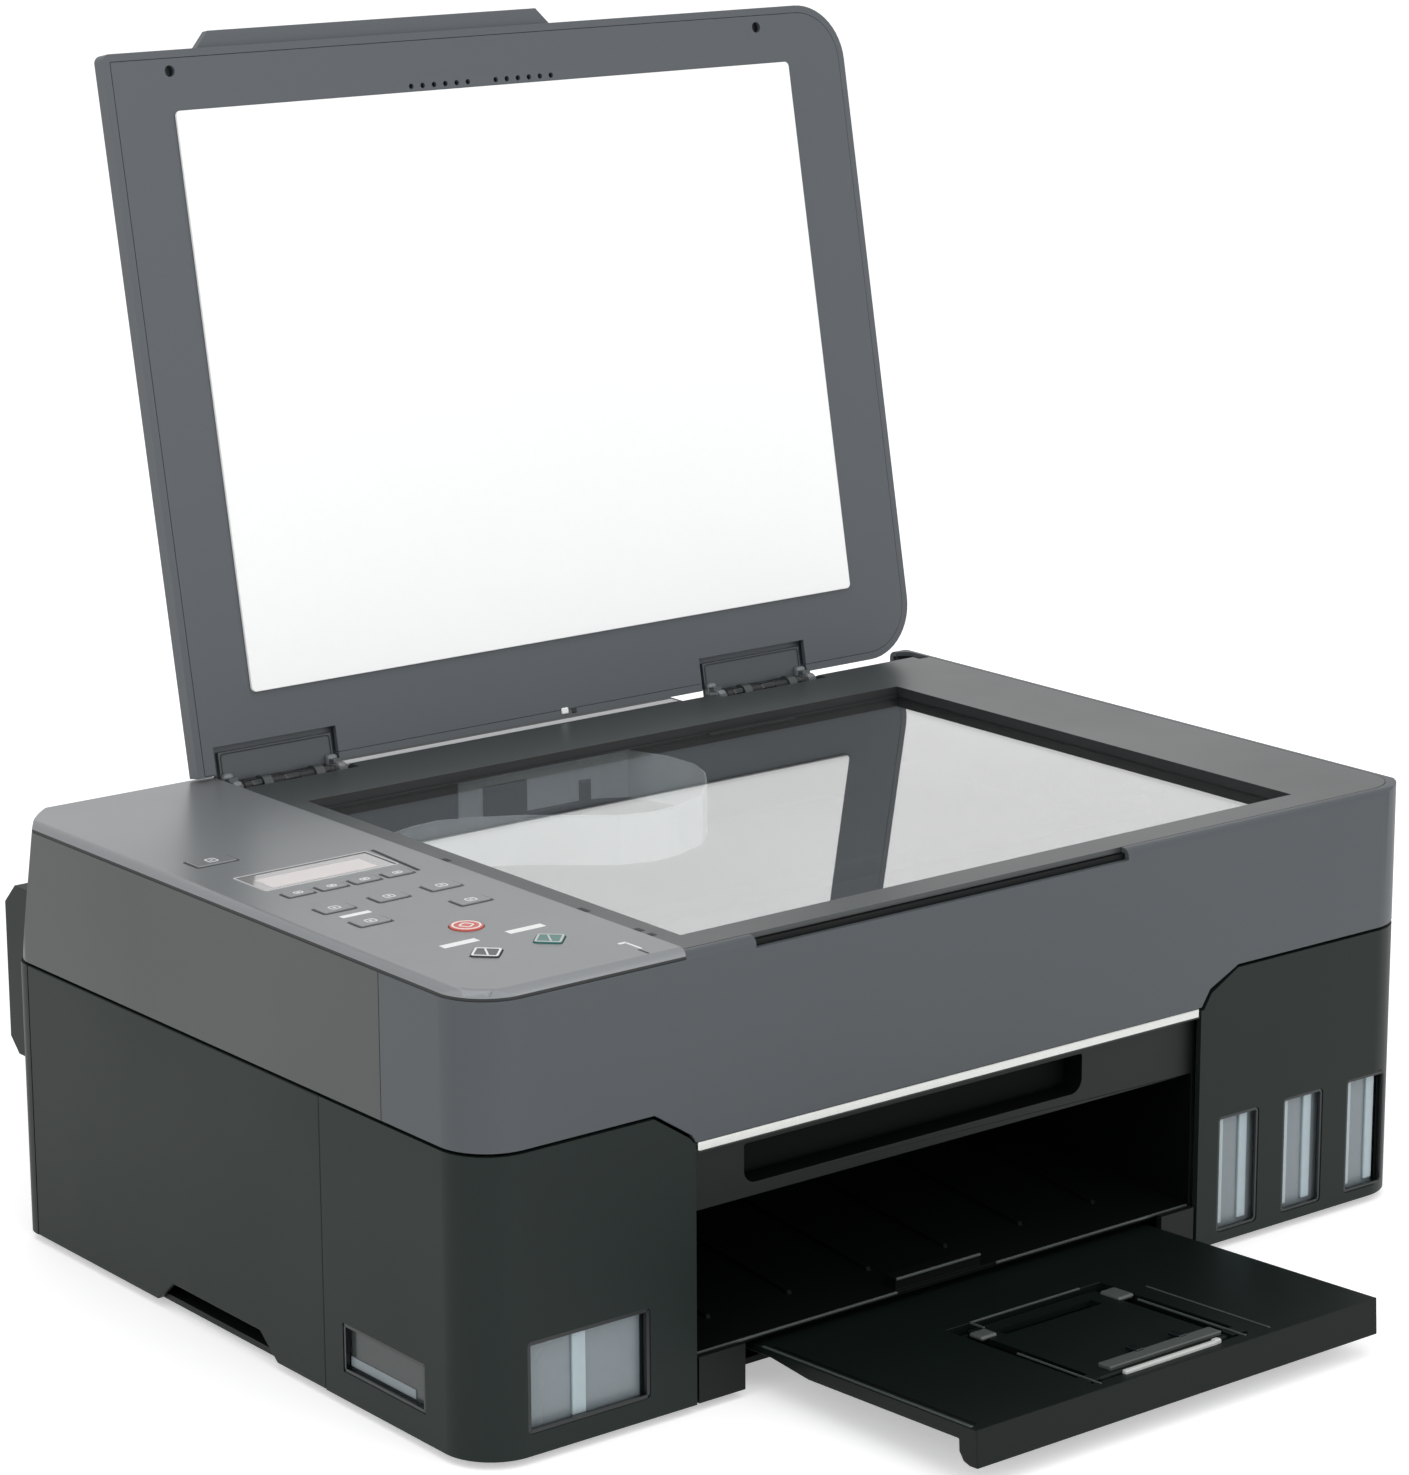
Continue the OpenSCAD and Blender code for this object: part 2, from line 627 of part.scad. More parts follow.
module output_tray() color(black) place() tray_place() {
  difference() {
    union() {
      box(tray_l, -tray_out, -tray_t, tray_l + tray_w, tray_in, 0);
      box(tray_l, -tray_out - 3, -lip_h, tray_l + tray_w, -tray_out + 0.2, 0);
      box(well_x0 - 2, stop_y - 7, -6, well_x1 + 2, stop_y + stop_l + 6, -tray_t + 0.1);
      // side flanges, deeper at the lip
      for (x = [tray_l, tray_l + tray_w - 2]) along_x(x, x + 2)
        polygon([[-tray_out - 3, -1], [-tray_out - 3, -lip_h], [-tray_out + 1, -lip_h],
          [-tray_out + 4, -lip_h + 1], [-tray_out + 6, -lip_h + 4],
          [-tray_out + 6, -flange_h], [84 - tray_out, -flange_h],
          [104 - tray_out, -tray_t], [104 - tray_out, -1]]);
    }
    box(well_x0, stop_y - 5, -4.2, well_x1, stop_y + stop_l + 4, 1);
    // finger hole in the floor of the well
    box(well_x1 - 26, stop_y + 6, -8, well_x1 - 4, stop_y + 12, 1);
  }
  // blocks that hold the stopper's pin
  for (x = [well_x0, well_x1 - 6]) difference() {
    box(x, stop_y - 3, -4.3, x + 6, stop_y + 3, 0);
    rod_x(x - 1, x + 7, stop_y, -2, 1.2 + play);
  }
}

module output_stopper() color("#30383a") place() tray_place() {
  rod_x(well_x0 + 0.4, well_x1 - 0.4, stop_y, -2, 1.2);
  difference() {
    box(well_x0 + 6.4, stop_y, -3.2, well_x1 - 6.4, stop_y + stop_l, -0.8);
    box(well_x0 + 14, stop_y + stop_l - 12, -4, well_x1 - 14, stop_y + stop_l - 6, 1);
  }
}

/* ---------- rear feed ---------- */

module paper_support() color("#3a3f40") place() {
  y0 = back_y - 12;
  difference() {
    union() {
      box(sup_l, y0 + 1, 80, sup_r, y0 + 9, support_z);
      // ledge along the top
      box(sup_l, case_d + 10.6, support_z - 2.4, sup_r, y0 + 2, support_z);
      for (x = [sup_l, sup_r - 12]) box(x, y0 + 2, 72, x + 12, y0 + 8, 81);
      rod_x(sup_l - 4, sup_l + 12, sup_hy, sup_hz, 3);
      rod_x(sup_r - 12, sup_r + 4, sup_hy, sup_hz, 3);
    }
    // recess for a folded extension
    box(sup_l + 50, y0, 100, sup_r - 50, y0 + 3, support_z - 8);
  }
}

module guide(x, s) {
  box(x - 1.5, case_d + 4, 134, x + 1.5, case_d + 12.6, support_z - 3);
  box(x + (s > 0 ? 0 : -26), case_d + 10, 134, x + (s > 0 ? 26 : 0), case_d + 12.6, 146);
}

module paper_guide_left() color(lightgrey) place() guide(path_l + 2.2, 1);

module paper_guide_right() color(lightgrey) place() guide(path_r - 2.2, -1);

module pickup_roller() color("#2e2f31") place() {
  rod_x(plate_x0 - 3, plate_x1 + 6, pick_y, pick_z, shaft_d / 2);
  for (x = [bay_mid - 34, bay_mid + 14]) rod_x(x, x + 20, pick_y, pick_z, tyre_r);
}

module transport_roller() color(steel) place() {
  rod_x(plate_x0 - 2, plate_x1 + 6, feed_y, roller_z, shaft_d / 2);
  rod_x(bay_l + 2, bay_r - 2, feed_y, roller_z, roller_r);
}

module eject_roller() color("#3a3c3e") place() {
  rod_x(plate_x0 - 2, plate_x1 + 3 - fit, eject_y, roller_z, shaft_d / 2);
  for (i = [-3 : 3]) rod_x(bay_mid + i * 30 - 6, bay_mid + i * 30 + 6, eject_y,
    roller_z, roller_r);
}

/* ---------- carriage ---------- */

module carriage() color("#26292b") place() {
  x1 = carr_x + carriage_w;
  difference() {
    box(carr_x, 166, 46, x1, 228, 94);
    // wells of the two print heads
    box(carr_x + 6, 172, 40, carr_x + 44, 222, 100);
    box(carr_x + 52, 172, 40, x1 - 6, 222, 100);
  }
  box(carr_x + 12, 227.9, 62, x1 - 12, 232.6, 75);
  box(carr_x + 5.9, 172, 46, x1 - 5.9, 174, 49);
  box(carr_x + 5.9, 220, 46, x1 - 5.9, 222.1, 49);
}

module print_heads() color("#3f474c") place() {
  x1 = carr_x + carriage_w;
  for (x = [[carr_x + 6.4, carr_x + 43.6], [carr_x + 52.4, x1 - 6.4]]) {
    box(x[0], 172.4, 49.2, x[1], 221.6, 90);
    box(x[0] + 5, 180, 43, x[1] - 5, 214, 49.3);
  }
}

module pulley(x, bore, hub) {
  difference() {
    union() {
      rod_y(x, belt_y - 0.4, belt_y + 5.4, belt_z, pulley_r);
      rod_y(x, belt_y - 1.4, belt_y - fit, belt_z, pulley_r + 1.2);
      rod_y(x, belt_y + 5 + fit, belt_y + 6.2, belt_z, pulley_r + 1.2);
      rod_y(x, belt_y + 6, rail_y + (bore > 0 ? 1.4 : 6), belt_z, hub);
    }
  }
}

module motor_pulley() color("#b08d4a") place() pulley(motor_x, 1, 2.5);

module idler_pulley() color("#8a8d8f") place() pulley(idler_x, 0, 2);

/* ---------- scanner unit ---------- */

// rounds the upper outer edges of whatever is inside
module top_round(d, z1, r) {
  intersection() {
    children();
    along_y(-20, d + 20) rr(0, 0, case_w, z1, [0, 0, r, r]);
    along_x(-20, case_w + 20) rr(0, 0, d, z1, [0, 0, r, r]);
  }
}

module scanner_tub() color("#2c3032") place() {
  i = wall + 0.4;
  difference() {
    union() {
      translate([0, 0, tub_z]) linear_extrude(tub_top - tub_z) difference() {
        outline(scan_d, i);
        outline(scan_d, i + 2);
      }
      translate([0, 0, tub_z]) linear_extrude(2) outline(scan_d, i);
      // thicker wall where the corner is rounded off
      translate([0, 0, tub_z]) linear_extrude(tub_top - tub_z) intersection() {
        outline(scan_d, i);
        translate([0, scan_d - 30]) square([30, 30]);
      }
      // rear wall in line with the covers
      box(corner_x + fit, scan_d - 6, tub_z, case_w - rear_r, scan_d, tub_top);
      // wall beside the operation panel
      box(86, 5, tub_z, 88, scan_d - 4, tub_top - 1);
      // hinge lugs
      for (x = hinge_px) {
        box(x + ear_t + fit, scan_d - 1, scan_hinge_z - 5, x + ear_t + fit + lug_w,
          hinge_y, scan_hinge_z + 5);
        rod_x(x + ear_t + fit, x + ear_t + fit + lug_w, hinge_y, scan_hinge_z, 5);
        rod_x(x + 0.2, x + lug_w + 2 * ear_t + 2 * fit - 0.2, hinge_y, scan_hinge_z,
          scan_pin_r);
      }
      // guide rod of the scan bar
      rod_x(87, case_w - 5, 140, 128, 4);
      box(87, 134, tub_z, 89, 146, 134);
      box(case_w - 9, 134, tub_z, case_w - 4, 146, 134);
      // clamp of the flat cable
      box(182, glass_end + 17.3 + fit, tub_z, 198, glass_end + 21, 147);
    }
    dome(i);
    // room for the deck's falling rear edge
    along_x(panel_w, case_w - rear_r + 1) polygon([[step_y - 0.3, 200],
      [step_y - 0.3, deck_z - 2.4], [step_y + 4.3, deck_z - 2.4],
      [scan_d + 1, deck_z - 9.8], [scan_d + 1, 200]]);
    // seat of the lid hinge pockets
    for (x = lid_hx) box(x - 2.4, lid_ay - 8.2, lid_az - 11, x + 58, scan_d + 1, 200);
  }
}

module scanner_front_cover() color(grey) place() difference() {
  top_round(scan_d, deck_z, edge_r) intersection() {
    union() {
      skin(scan_d, 60, deck_z, wall);
      // rim that carries the deck
      skin(scan_d, deck_z - 2, deck_z, 4.2);
    }
    union() {
      box(-1, -1, 0, 200, 54 - 0.15, 200);
      box(199, -1, 0, case_w + 1, scan_d + 1, 200);
    }
  }
  // open back between the rear corners
  box(150, 200, 0, case_w - rear_r + fit, scan_d + 9, 200);
  // lower edge with the dip over the bay
  along_y(-1, 54) polygon([[-1, 0], [case_w + 1, 0], [case_w + 1, scan_bot],
    [bay_r + 19.1, scan_bot], [bay_r + 4.6, fascia_z + 6.4], [bay_r + 0.3, fascia_z],
    [bay_l, fascia_z], [bay_l - 2, fascia_z + 3], [74.3, scan_bot],
    [-1, scan_bot]]);
  box(-1, 53, 0, case_w + 1, scan_d + 1, scan_bot);
  // room for the panel plate
  box(-1, -1, lip_z - 0.2, panel_w + 0.2, 60, 200);
  // grip under the cover's finger tab
  box(lid_x0 + 40.4, -1, deck_z - 4.2, lid_x0 + 44.4 + tab_l, 5, 200);
}

module scanner_left_panel() color(grey) place() intersection() {
  difference() {
    difference() {
      translate([0, 0, scan_bot]) linear_extrude(lip_z - 0.2 - scan_bot)
        outline(scan_d, 0);
      dome(0);
    }
    difference() {
      translate([0, 0, scan_bot - 1]) linear_extrude(lip_z + 2 - scan_bot)
        outline(scan_d, wall);
      dome(wall);
    }
  }
  box(-1, 54 + 0.15, 0, corner_x, scan_d + 1, 200);
}

module platen_frame() color("#33383a") place() {
  difference() {
    union() {
      translate([0, 0, deck_z - plate_t]) linear_extrude(plate_t) intersection() {
        outline(scan_d, 4.4);
        translate([panel_w + 0.3, 0]) square([case_w, step_y]);
      }
      // rim under the plate that the glass is taped to
      box(glass_x - 5, glass_y - 5, deck_z - plate_t - rim_t, glass_x + glass_w + 5,
        glass_end + 5, deck_z - 1);
    }
    box(glass_x, glass_y, 150, glass_x + glass_w, glass_end, 200);
    for (x = lid_hx)
      box(x - 1.6, lid_ay - 6.3, 100, x + 54, lid_ay + 9, 200);
  }
  // rear edge of the deck, which falls away behind the cover
  difference() {
    along_x(panel_w + 0.3, case_w - rear_r) polygon([[step_y - 0.1, deck_z - 2],
      [step_y - 0.1, deck_z], [step_y + 4.3, deck_z], [scan_d, deck_z - 6.6],
      [scan_d, deck_z - 8.8], [step_y + 4.3, deck_z - 2]]);
    for (x = lid_hx)
      box(x - 1.6, lid_ay - 6.3, 100, x + 54, lid_ay + 9, 200);
  }
  // pockets with the hinge cheeks
  for (x = lid_hx) {
    difference() {
      along_x(x - 2.1, x + 56) polygon([[lid_ay - 7.8, lid_az - 10.5],
        [scan_d - 1.5, lid_az - 10.5], [scan_d - 1.5, deck_z - 8.2],
        [step_y + 4.3, deck_z - 1.9], [lid_ay - 7.8, deck_z - 1.9]]);
      box(x - 1.6, lid_ay - 6.3, lid_az - 9, x + 54, lid_ay + 9, 200);
    }
    for (u = [12, 36]) difference() {
      union() {
        box(x + u, lid_ay - 4.2, lid_az - 9.1, x + u + 4, lid_ay + 4.2, lid_az);
        rod_x(x + u, x + u + 4, lid_ay, lid_az, 4.2);
      }
      rod_x(x + u - 1, x + u + 5, lid_ay, lid_az, lid_pin_d / 2 + play);
    }
  }
}

module platen_glass() color([0.7, 0.8, 0.82, 0.5]) place()
  box(glass_x - 4, glass_y - 4, glass_top - glass_t, glass_x + glass_w + 4,
    glass_y + glass_d + 4, glass_top);

module scan_bar() color("#202325") place() {
  difference() {
    union() {
      box(89, glass_y + 3, 149, 89 + cis_w, glass_y + glass_d - 2,
        glass_top - glass_t - 0.4);
      box(90.5, 132, 122, 89 + cis_w - 1.5, 148, 149.5);
    }
    rod_x(80, 120, 140, 128, 4 + play);
  }
}

// flat cable that loops on edge between the scan bar and the tub
cable = [[89 + cis_w + fit, -37.6], [114.5, -36], [125, -33.4], [136.2, -32.5], [150, -37.3],
  [166.9, -46.9], [181, -59], [195.1, -69.9], [208, -74], [220.6, -72.7], [238, -65.6],
  [250.8, -52.4], [260, -39.6], [265.3, -25.5], [264.5, -8.6], [258.5, 8.1], [249, 14],
  [238.1, 16.8], [210, 17], [180.7, 16.6]];

function cable_n(i) = let (d = cable[min(i + 1, len(cable) - 1)] - cable[max(i - 1, 0)])
  [-d[1], d[0]] * 0.3 / norm(d);

module scanner_ribbon() color("#b9bcbb") place() translate([0, glass_end, 137])
  linear_extrude(19.6) polygon(concat(
    [for (i = [0 : len(cable) - 1]) cable[i] + cable_n(i)],
    [for (i = [len(cable) - 1 : -1 : 0]) cable[i] - cable_n(i)]));

/* ---------- operation panel ---------- */

// key table: x, y, width, depth
keys = [[22.8, 192.8, 16.6, 9.2], [23.9, 138, 10.8, 5.5], [37.8, 137.8, 10.8, 5.5],
  [51.6, 137.6, 10.8, 5.5], [65.5, 137.4, 10.8, 5.5], [23.2, 114.2, 12.7, 7.5],
  [46, 114.2, 12.7, 7.5], [68.2, 114, 12.7, 7.5], [24, 93.2, 12.7, 7.5],
  [65.7, 92.7, 12.7, 7.5], [46.2, 68, 12, 12], [33.1, 38, 9.8, 9.8],
  [59, 37.7, 9.8, 9.8]];
lcd_x = 17.3;
lcd_y = 148.2;

module key_shape(i, g) {
  k = keys[i];
  translate([k[0], k[1]])
    if (i == 10) circle(k[2] / 2 + g);
    else rotate(i > 10 ? 45 : 0)
      rr(-k[2] / 2 - g, -k[3] / 2 - g, k[2] / 2 + g, k[3] / 2 + g,
        [1 + g, 1 + g, 1 + g, 1 + g]);
}

module operation_panel() color("#787d80") place() difference() {
  top_round(scan_d, panel_z, 3.4) intersection() {
    translate([0, 0, lip_z]) linear_extrude(panel_t) outline(scan_d, 0);
    box(-1, -1, 0, panel_w, scan_d + 1, 200);
  }
  dome(0);
  for (i = [0 : 12]) translate([0, 0, lip_z - 1]) linear_extrude(9) key_shape(i, fit);
  box(lcd_x, lcd_y, panel_z - 1.6, lcd_x + lcd_w, lcd_y + lcd_d, 200);
}

module lcd_window() color("#b9b6b4") place()
  box(lcd_x + fit, lcd_y + fit, panel_z - 1.4, lcd_x + lcd_w - fit,
    lcd_y + lcd_d - fit, panel_z - 0.2);

module key(i) {
  translate([0, 0, lip_z - fit - 1]) linear_extrude(panel_t + fit + 1 + key_up)
    key_shape(i, 0);
  translate([0, 0, lip_z - fit - 1]) linear_extrude(1) key_shape(i, 1);
}

module key_power() color("#6d7274") place() key(0);
module key_back() color("#6d7274") place() key(1);
module key_left() color("#6d7274") place() key(2);
module key_right() color("#6d7274") place() key(3);
module key_ok() color("#6d7274") place() key(4);
module key_copy() color("#6d7274") place() key(5);
module key_menu() color("#6d7274") place() key(6);
module key_scan() color("#6d7274") place() key(7);
module key_setup() color("#6d7274") place() key(8);
module key_info() color("#6d7274") place() key(9);
module key_stop() color("#c4584f") place() key(10);
module key_black() color("#3c3f42") place() key(11);
module key_colour() color("#2f6b69") place() key(12);

module silver_trim() color("#d9dbdb") place()
  box(bay_l + 1, 0.3, fascia_z - trim_h, bay_r - 0.2, wall + 0.8, fascia_z - 0.1);

/* ---------- document cover ---------- */

// the cover is drawn closed, relative to its hinge line, and then opened
module lid_place() {
  translate([0, lid_ay, lid_az]) rotate([-lid_open, 0, 0]) children();
}

module lid_outline(i) {
  rr(lid_x0 + i, lid_y0 + i, lid_x1 - i, lid_y1 - i,
    [max(3 - i, 0.6), lid_r - i, lid_r - i, max(3 - i, 0.6)]);
}

module hinge_bays(g) {
  for (x = lid_hx)
    translate([x - 4 - g, lid_y1 - 13.4 - g]) square([56 + 2 * g, 15 + 2 * g]);
}

module cover_shell() color(grey) place() lid_place() {
  difference() {
    union() {
      translate([0, 0, lid_in]) linear_extrude(lid_t) lid_outline(0);
      // finger tab
      translate([0, 0, lid_in + 2.5]) linear_extrude(lid_t - 2.5)
        polygon([[lid_x0 + 42.4, lid_y0 + 1], [lid_x0 + 49.4, lid_y0 - tab_out],
          [lid_x0 + 35.4 + tab_l, lid_y0 - tab_out],
          [lid_x0 + 42.4 + tab_l, lid_y0 + 1]]);
    }
    translate([0, 0, lid_in - 1]) linear_extrude(lid_t - 1.2) lid_outline(3);
    // corner that clears the operation panel when the cover stands open
    translate([lid_x0 - 1, lid_y1 - notch_u, lid_in - 1])
      cube([panel_w + 2 * fit - lid_x0 + 1, notch_u + 1, lid_t + 3]);
    translate([0, 0, lid_in - 1]) linear_extrude(lid_t - 1.2) hinge_bays(0.2);
  }
}

module cover_inner_panel() color(grey) place() lid_place() {
  difference() {
    translate([0, 0, lid_in]) linear_extrude(2) lid_outline(3.2);
    translate([0, 0, lid_in - 1]) linear_extrude(5) hinge_bays(0.2);
    // hook holes and the two rows of small holes
    for (x = [lid_x0 + 28.7, lid_x0 + 316.3])
      translate([x, lid_y0 + 8, lid_in - 1]) cylinder(h = 4, r = 2.2);
    for (i = [0 : 5], x = [lid_x0 + 138.5, lid_x0 + 179.7])
      translate([x + i * 5.5, lid_y0 + 21, lid_in - 1]) cylinder(h = 4, r = 1.1);
  }
  // ribs up to the shell
  for (i = [0 : 4])
    box(lid_x0 + 46 + i * 66, lid_y0 + 8, lid_in + 1.9, lid_x0 + 48 + i * 66,
      lid_y1 - 18, lid_in + lid_t - 2.2);
}

module cover_pad() color(white) place() lid_place()
  translate([lid_x0 + 28.3, lid_y1 - 32 - pad_d, lid_in - pad_t]) linear_extrude(pad_t)
    rr(0, 0, pad_w, pad_d, [2, 2, 2, 2]);

module cover_hinges() color("#8d9194") place() lid_place()
  for (x = lid_hx) {
    box(x - 1, lid_y1 - 11, lid_in + 2.4, x + 51, lid_y1 + 2, lid_in + lid_t - 2.2);
    for (u = [-1, 47]) {
      box(x + u, lid_y1 - 1, 0.4, x + u + 4, 0, lid_in + lid_t - 2.2);
      rod_x(x + u, x + u + 4, 0, 0, 3.4);
    }
    rod_x(x - 1, x + 51, 0, 0, lid_pin_d / 2);
  }

base_frame();
rubber_feet();
left_side_cover();
right_side_cover();
rear_cover();
left_tank_cover();
right_tank_cover();
black_ink_tank();
colour_ink_tanks();
tank_caps();
inner_front_frame();
output_floor();
print_platen();
carriage_rail();
timing_belt();
purge_unit();
main_board();
power_supply();
ink_tubes();
case_screws();
drive_motors();
output_tray();
output_stopper();
paper_support();
paper_guide_left();
paper_guide_right();
pickup_roller();
transport_roller();
eject_roller();
carriage();
print_heads();
motor_pulley();
idler_pulley();
scanner_tub();
scanner_front_cover();
scanner_left_panel();
platen_frame();
platen_glass();
operation_panel();
lcd_window();
silver_trim();
scan_bar();
scanner_ribbon();
key_power();
key_back();
key_left();
key_right();
key_ok();
key_copy();
key_menu();
key_scan();
key_setup();
key_info();
key_stop();
key_black();
key_colour();
cover_shell();
cover_inner_panel();
cover_pad();
cover_hinges();
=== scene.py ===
import bpy, math
from mathutils import Euler, Matrix, Vector


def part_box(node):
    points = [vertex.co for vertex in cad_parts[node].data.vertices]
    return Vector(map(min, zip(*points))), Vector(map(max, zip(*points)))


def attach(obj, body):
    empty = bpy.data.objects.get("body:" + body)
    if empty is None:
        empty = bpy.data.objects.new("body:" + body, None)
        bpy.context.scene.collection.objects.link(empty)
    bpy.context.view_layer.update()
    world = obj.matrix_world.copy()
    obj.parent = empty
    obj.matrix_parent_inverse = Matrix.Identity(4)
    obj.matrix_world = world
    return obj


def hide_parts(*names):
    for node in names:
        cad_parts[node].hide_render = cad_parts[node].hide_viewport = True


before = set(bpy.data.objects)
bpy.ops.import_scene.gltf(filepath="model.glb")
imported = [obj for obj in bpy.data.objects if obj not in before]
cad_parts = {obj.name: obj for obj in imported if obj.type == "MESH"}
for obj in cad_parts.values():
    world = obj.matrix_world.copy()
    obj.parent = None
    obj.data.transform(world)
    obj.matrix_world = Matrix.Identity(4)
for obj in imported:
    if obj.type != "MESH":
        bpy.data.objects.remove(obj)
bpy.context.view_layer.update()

# ---------------------------------------------------------------- studio
# Camera on a long lens, in front of the left corner and above the open cover; a
# plain pale floor, and three large soft lamps above, at the left and in front.
lens = bpy.data.cameras.new("camera")
lens.lens = 108.24
lens.sensor_width = 36
lens.shift_x = -0.0007
lens.shift_y = 0.00494
camera = bpy.data.objects.new("camera", lens)
bpy.context.scene.collection.objects.link(camera)
camera.location = (-1.01225, -1.23913, 0.59704)
camera.rotation_euler = (Euler((math.radians(75.84), 0, math.radians(-38.36))).to_matrix()
                         @ Matrix.Rotation(math.radians(-0.25), 3, "Z")).to_euler()
bpy.context.scene.camera = camera
bpy.context.scene.view_settings.view_transform = "Standard"


def seen_or_mirrored(nodes, links):
    """One for rays from the camera and from reflections, nought for all others."""
    rays = nodes.new("ShaderNodeLightPath")
    either = nodes.new("ShaderNodeMath")
    either.operation = "MAXIMUM"
    links.new(rays.outputs["Is Camera Ray"], either.inputs[0])
    links.new(rays.outputs["Is Glossy Ray"], either.inputs[1])
    return either.outputs[0]


bpy.ops.object.select_all(action="DESELECT")
bpy.ops.mesh.primitive_plane_add(size=14, location=(0, 0, 0))
floor = bpy.context.object
floor.name = "floor"
paper = bpy.data.materials.new("studio_floor")
paper.use_nodes = True
nodes, links = paper.node_tree.nodes, paper.node_tree.links
nodes["Principled BSDF"].inputs["Base Color"].default_value = (0.86, 0.86, 0.86, 1)
nodes["Principled BSDF"].inputs["Roughness"].default_value = 0.7
fade = nodes.new("ShaderNodeMath")
fade.operation = "MULTIPLY"
fade.inputs[1].default_value = 0.42
links.new(seen_or_mirrored(nodes, links), fade.inputs[0])
nodes["Principled BSDF"].inputs["Emission Color"].default_value = (1, 1, 1, 1)
links.new(fade.outputs[0], nodes["Principled BSDF"].inputs["Emission Strength"])
floor.data.materials.append(paper)

sky = bpy.data.worlds.new("studio")
bpy.context.scene.world = sky
sky.use_nodes = True
nodes, links = sky.node_tree.nodes, sky.node_tree.links
level = nodes.new("ShaderNodeMapRange")
level.inputs["To Min"].default_value = 0.7
level.inputs["To Max"].default_value = 1.0
links.new(seen_or_mirrored(nodes, links), level.inputs["Value"])
links.new(level.outputs["Result"], nodes["Background"].inputs["Strength"])
nodes["Background"].inputs["Color"].default_value = (1, 1, 1, 1)

for name, spot, size, power in (("lamp_top", (-0.3, -0.6, 2.2), 2.4, 14),
                                ("lamp_left", (-2.2, -0.6, 1.1), 1.6, 9),
                                ("lamp_front", (0.3, -2.4, 1.1), 2.2, 20)):
    light = bpy.data.lights.new(name, "AREA")
    light.size = size
    light.energy = power
    lamp = bpy.data.objects.new(name, light)
    bpy.context.scene.collection.objects.link(lamp)
    lamp.location = spot
    lamp.rotation_euler = (Vector((0, 0, 0.12)) - Vector(spot)).to_track_quat("-Z", "Y").to_euler()

# ---------------------------------------------------------------- lower casing
# Covers of the lower casing: near black ABS with a fine spark grain, clipped
# round the base frame. Their outer edges are slightly rounded by the mould.
left_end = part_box("left_tank_cover")[0].x
front_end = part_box("left_tank_cover")[0].y


def at(x, y, z):
    """Millimetres from the casing's left front corner, as a place in the scene."""
    return Vector((left_end + x / 1000, front_end + y / 1000, z / 1000))


def finish(name, colour, rough, rough_spread=0.08, tone=0.06, grain=1100,
           grain_strength=0.35, **sockets):
    """Moulded or painted surface: fine grain in the bump, cloudy gloss and tone."""
    made = bpy.data.materials.new(name)
    made.use_nodes = True
    nodes, links = made.node_tree.nodes, made.node_tree.links
    shader = nodes["Principled BSDF"]
    place = nodes.new("ShaderNodeTexCoord")
    fine = nodes.new("ShaderNodeTexNoise")
    fine.inputs["Scale"].default_value = grain
    fine.inputs["Detail"].default_value = 3
    links.new(place.outputs["Object"], fine.inputs["Vector"])
    bump = nodes.new("ShaderNodeBump")
    bump.inputs["Strength"].default_value = grain_strength
    bump.inputs["Distance"].default_value = 0.00004
    links.new(fine.outputs["Fac"], bump.inputs["Height"])
    links.new(bump.outputs["Normal"], shader.inputs["Normal"])
    cloud = nodes.new("ShaderNodeTexNoise")
    cloud.inputs["Scale"].default_value = 9
    cloud.inputs["Detail"].default_value = 5
    links.new(place.outputs["Object"], cloud.inputs["Vector"])
    gloss = nodes.new("ShaderNodeMapRange")
    gloss.inputs["From Min"].default_value = 0.3
    gloss.inputs["From Max"].default_value = 0.7
    gloss.inputs["To Min"].default_value = rough - rough_spread / 2
    gloss.inputs["To Max"].default_value = rough + rough_spread / 2
    links.new(cloud.outputs["Fac"], gloss.inputs["Value"])
    links.new(gloss.outputs["Result"], shader.inputs["Roughness"])
    shade = nodes.new("ShaderNodeMix")
    shade.data_type = "RGBA"
    shade.inputs["A"].default_value = (*[c * (1 - tone) for c in colour], 1)
    shade.inputs["B"].default_value = (*[min(1, c * (1 + tone)) for c in colour], 1)
    links.new(fine.outputs["Fac"], shade.inputs["Factor"])
    links.new(shade.outputs["Result"], shader.inputs["Base Color"])
    for socket, value in sockets.items():
        shader.inputs[socket.replace("_", " ")].default_value = value
    return made


def edit(piece):
    """Opens the piece alone in edit mode, with nothing of it selected."""
    bpy.ops.object.select_all(action="DESELECT")
    piece.select_set(True)
    bpy.context.view_layer.objects.active = piece
    bpy.ops.object.mode_set(mode="EDIT")
    bpy.ops.mesh.select_all(action="DESELECT")


def done():
    """Back from edit mode to object mode."""
    bpy.ops.object.mode_set(mode="OBJECT")


def apply_all(piece):
    """Applies every modifier of the piece, in order."""
    bpy.ops.object.select_all(action="DESELECT")
    piece.select_set(True)
    bpy.context.view_layer.objects.active = piece
    for modifier in list(piece.modifiers):
        bpy.ops.object.modifier_apply(modifier=modifier.name)


def ease_edges(piece, width, segments=2):
    """Rounds the piece's sharp edges and smooths its shading."""
    bevel = piece.modifiers.new("eased_edge", "BEVEL")
    bevel.width = width
    bevel.segments = segments
    bevel.limit_method = "ANGLE"
    bevel.angle_limit = math.radians(32)
    bevel.use_clamp_overlap = True
    bevel.miter_outer = "MITER_ARC"
    apply_all(piece)
    bpy.ops.object.shade_smooth_by_angle(angle=math.radians(40))
    even = piece.modifiers.new("even_shading", "WEIGHTED_NORMAL")
    even.keep_sharp = True
    even.weight = 80
    apply_all(piece)


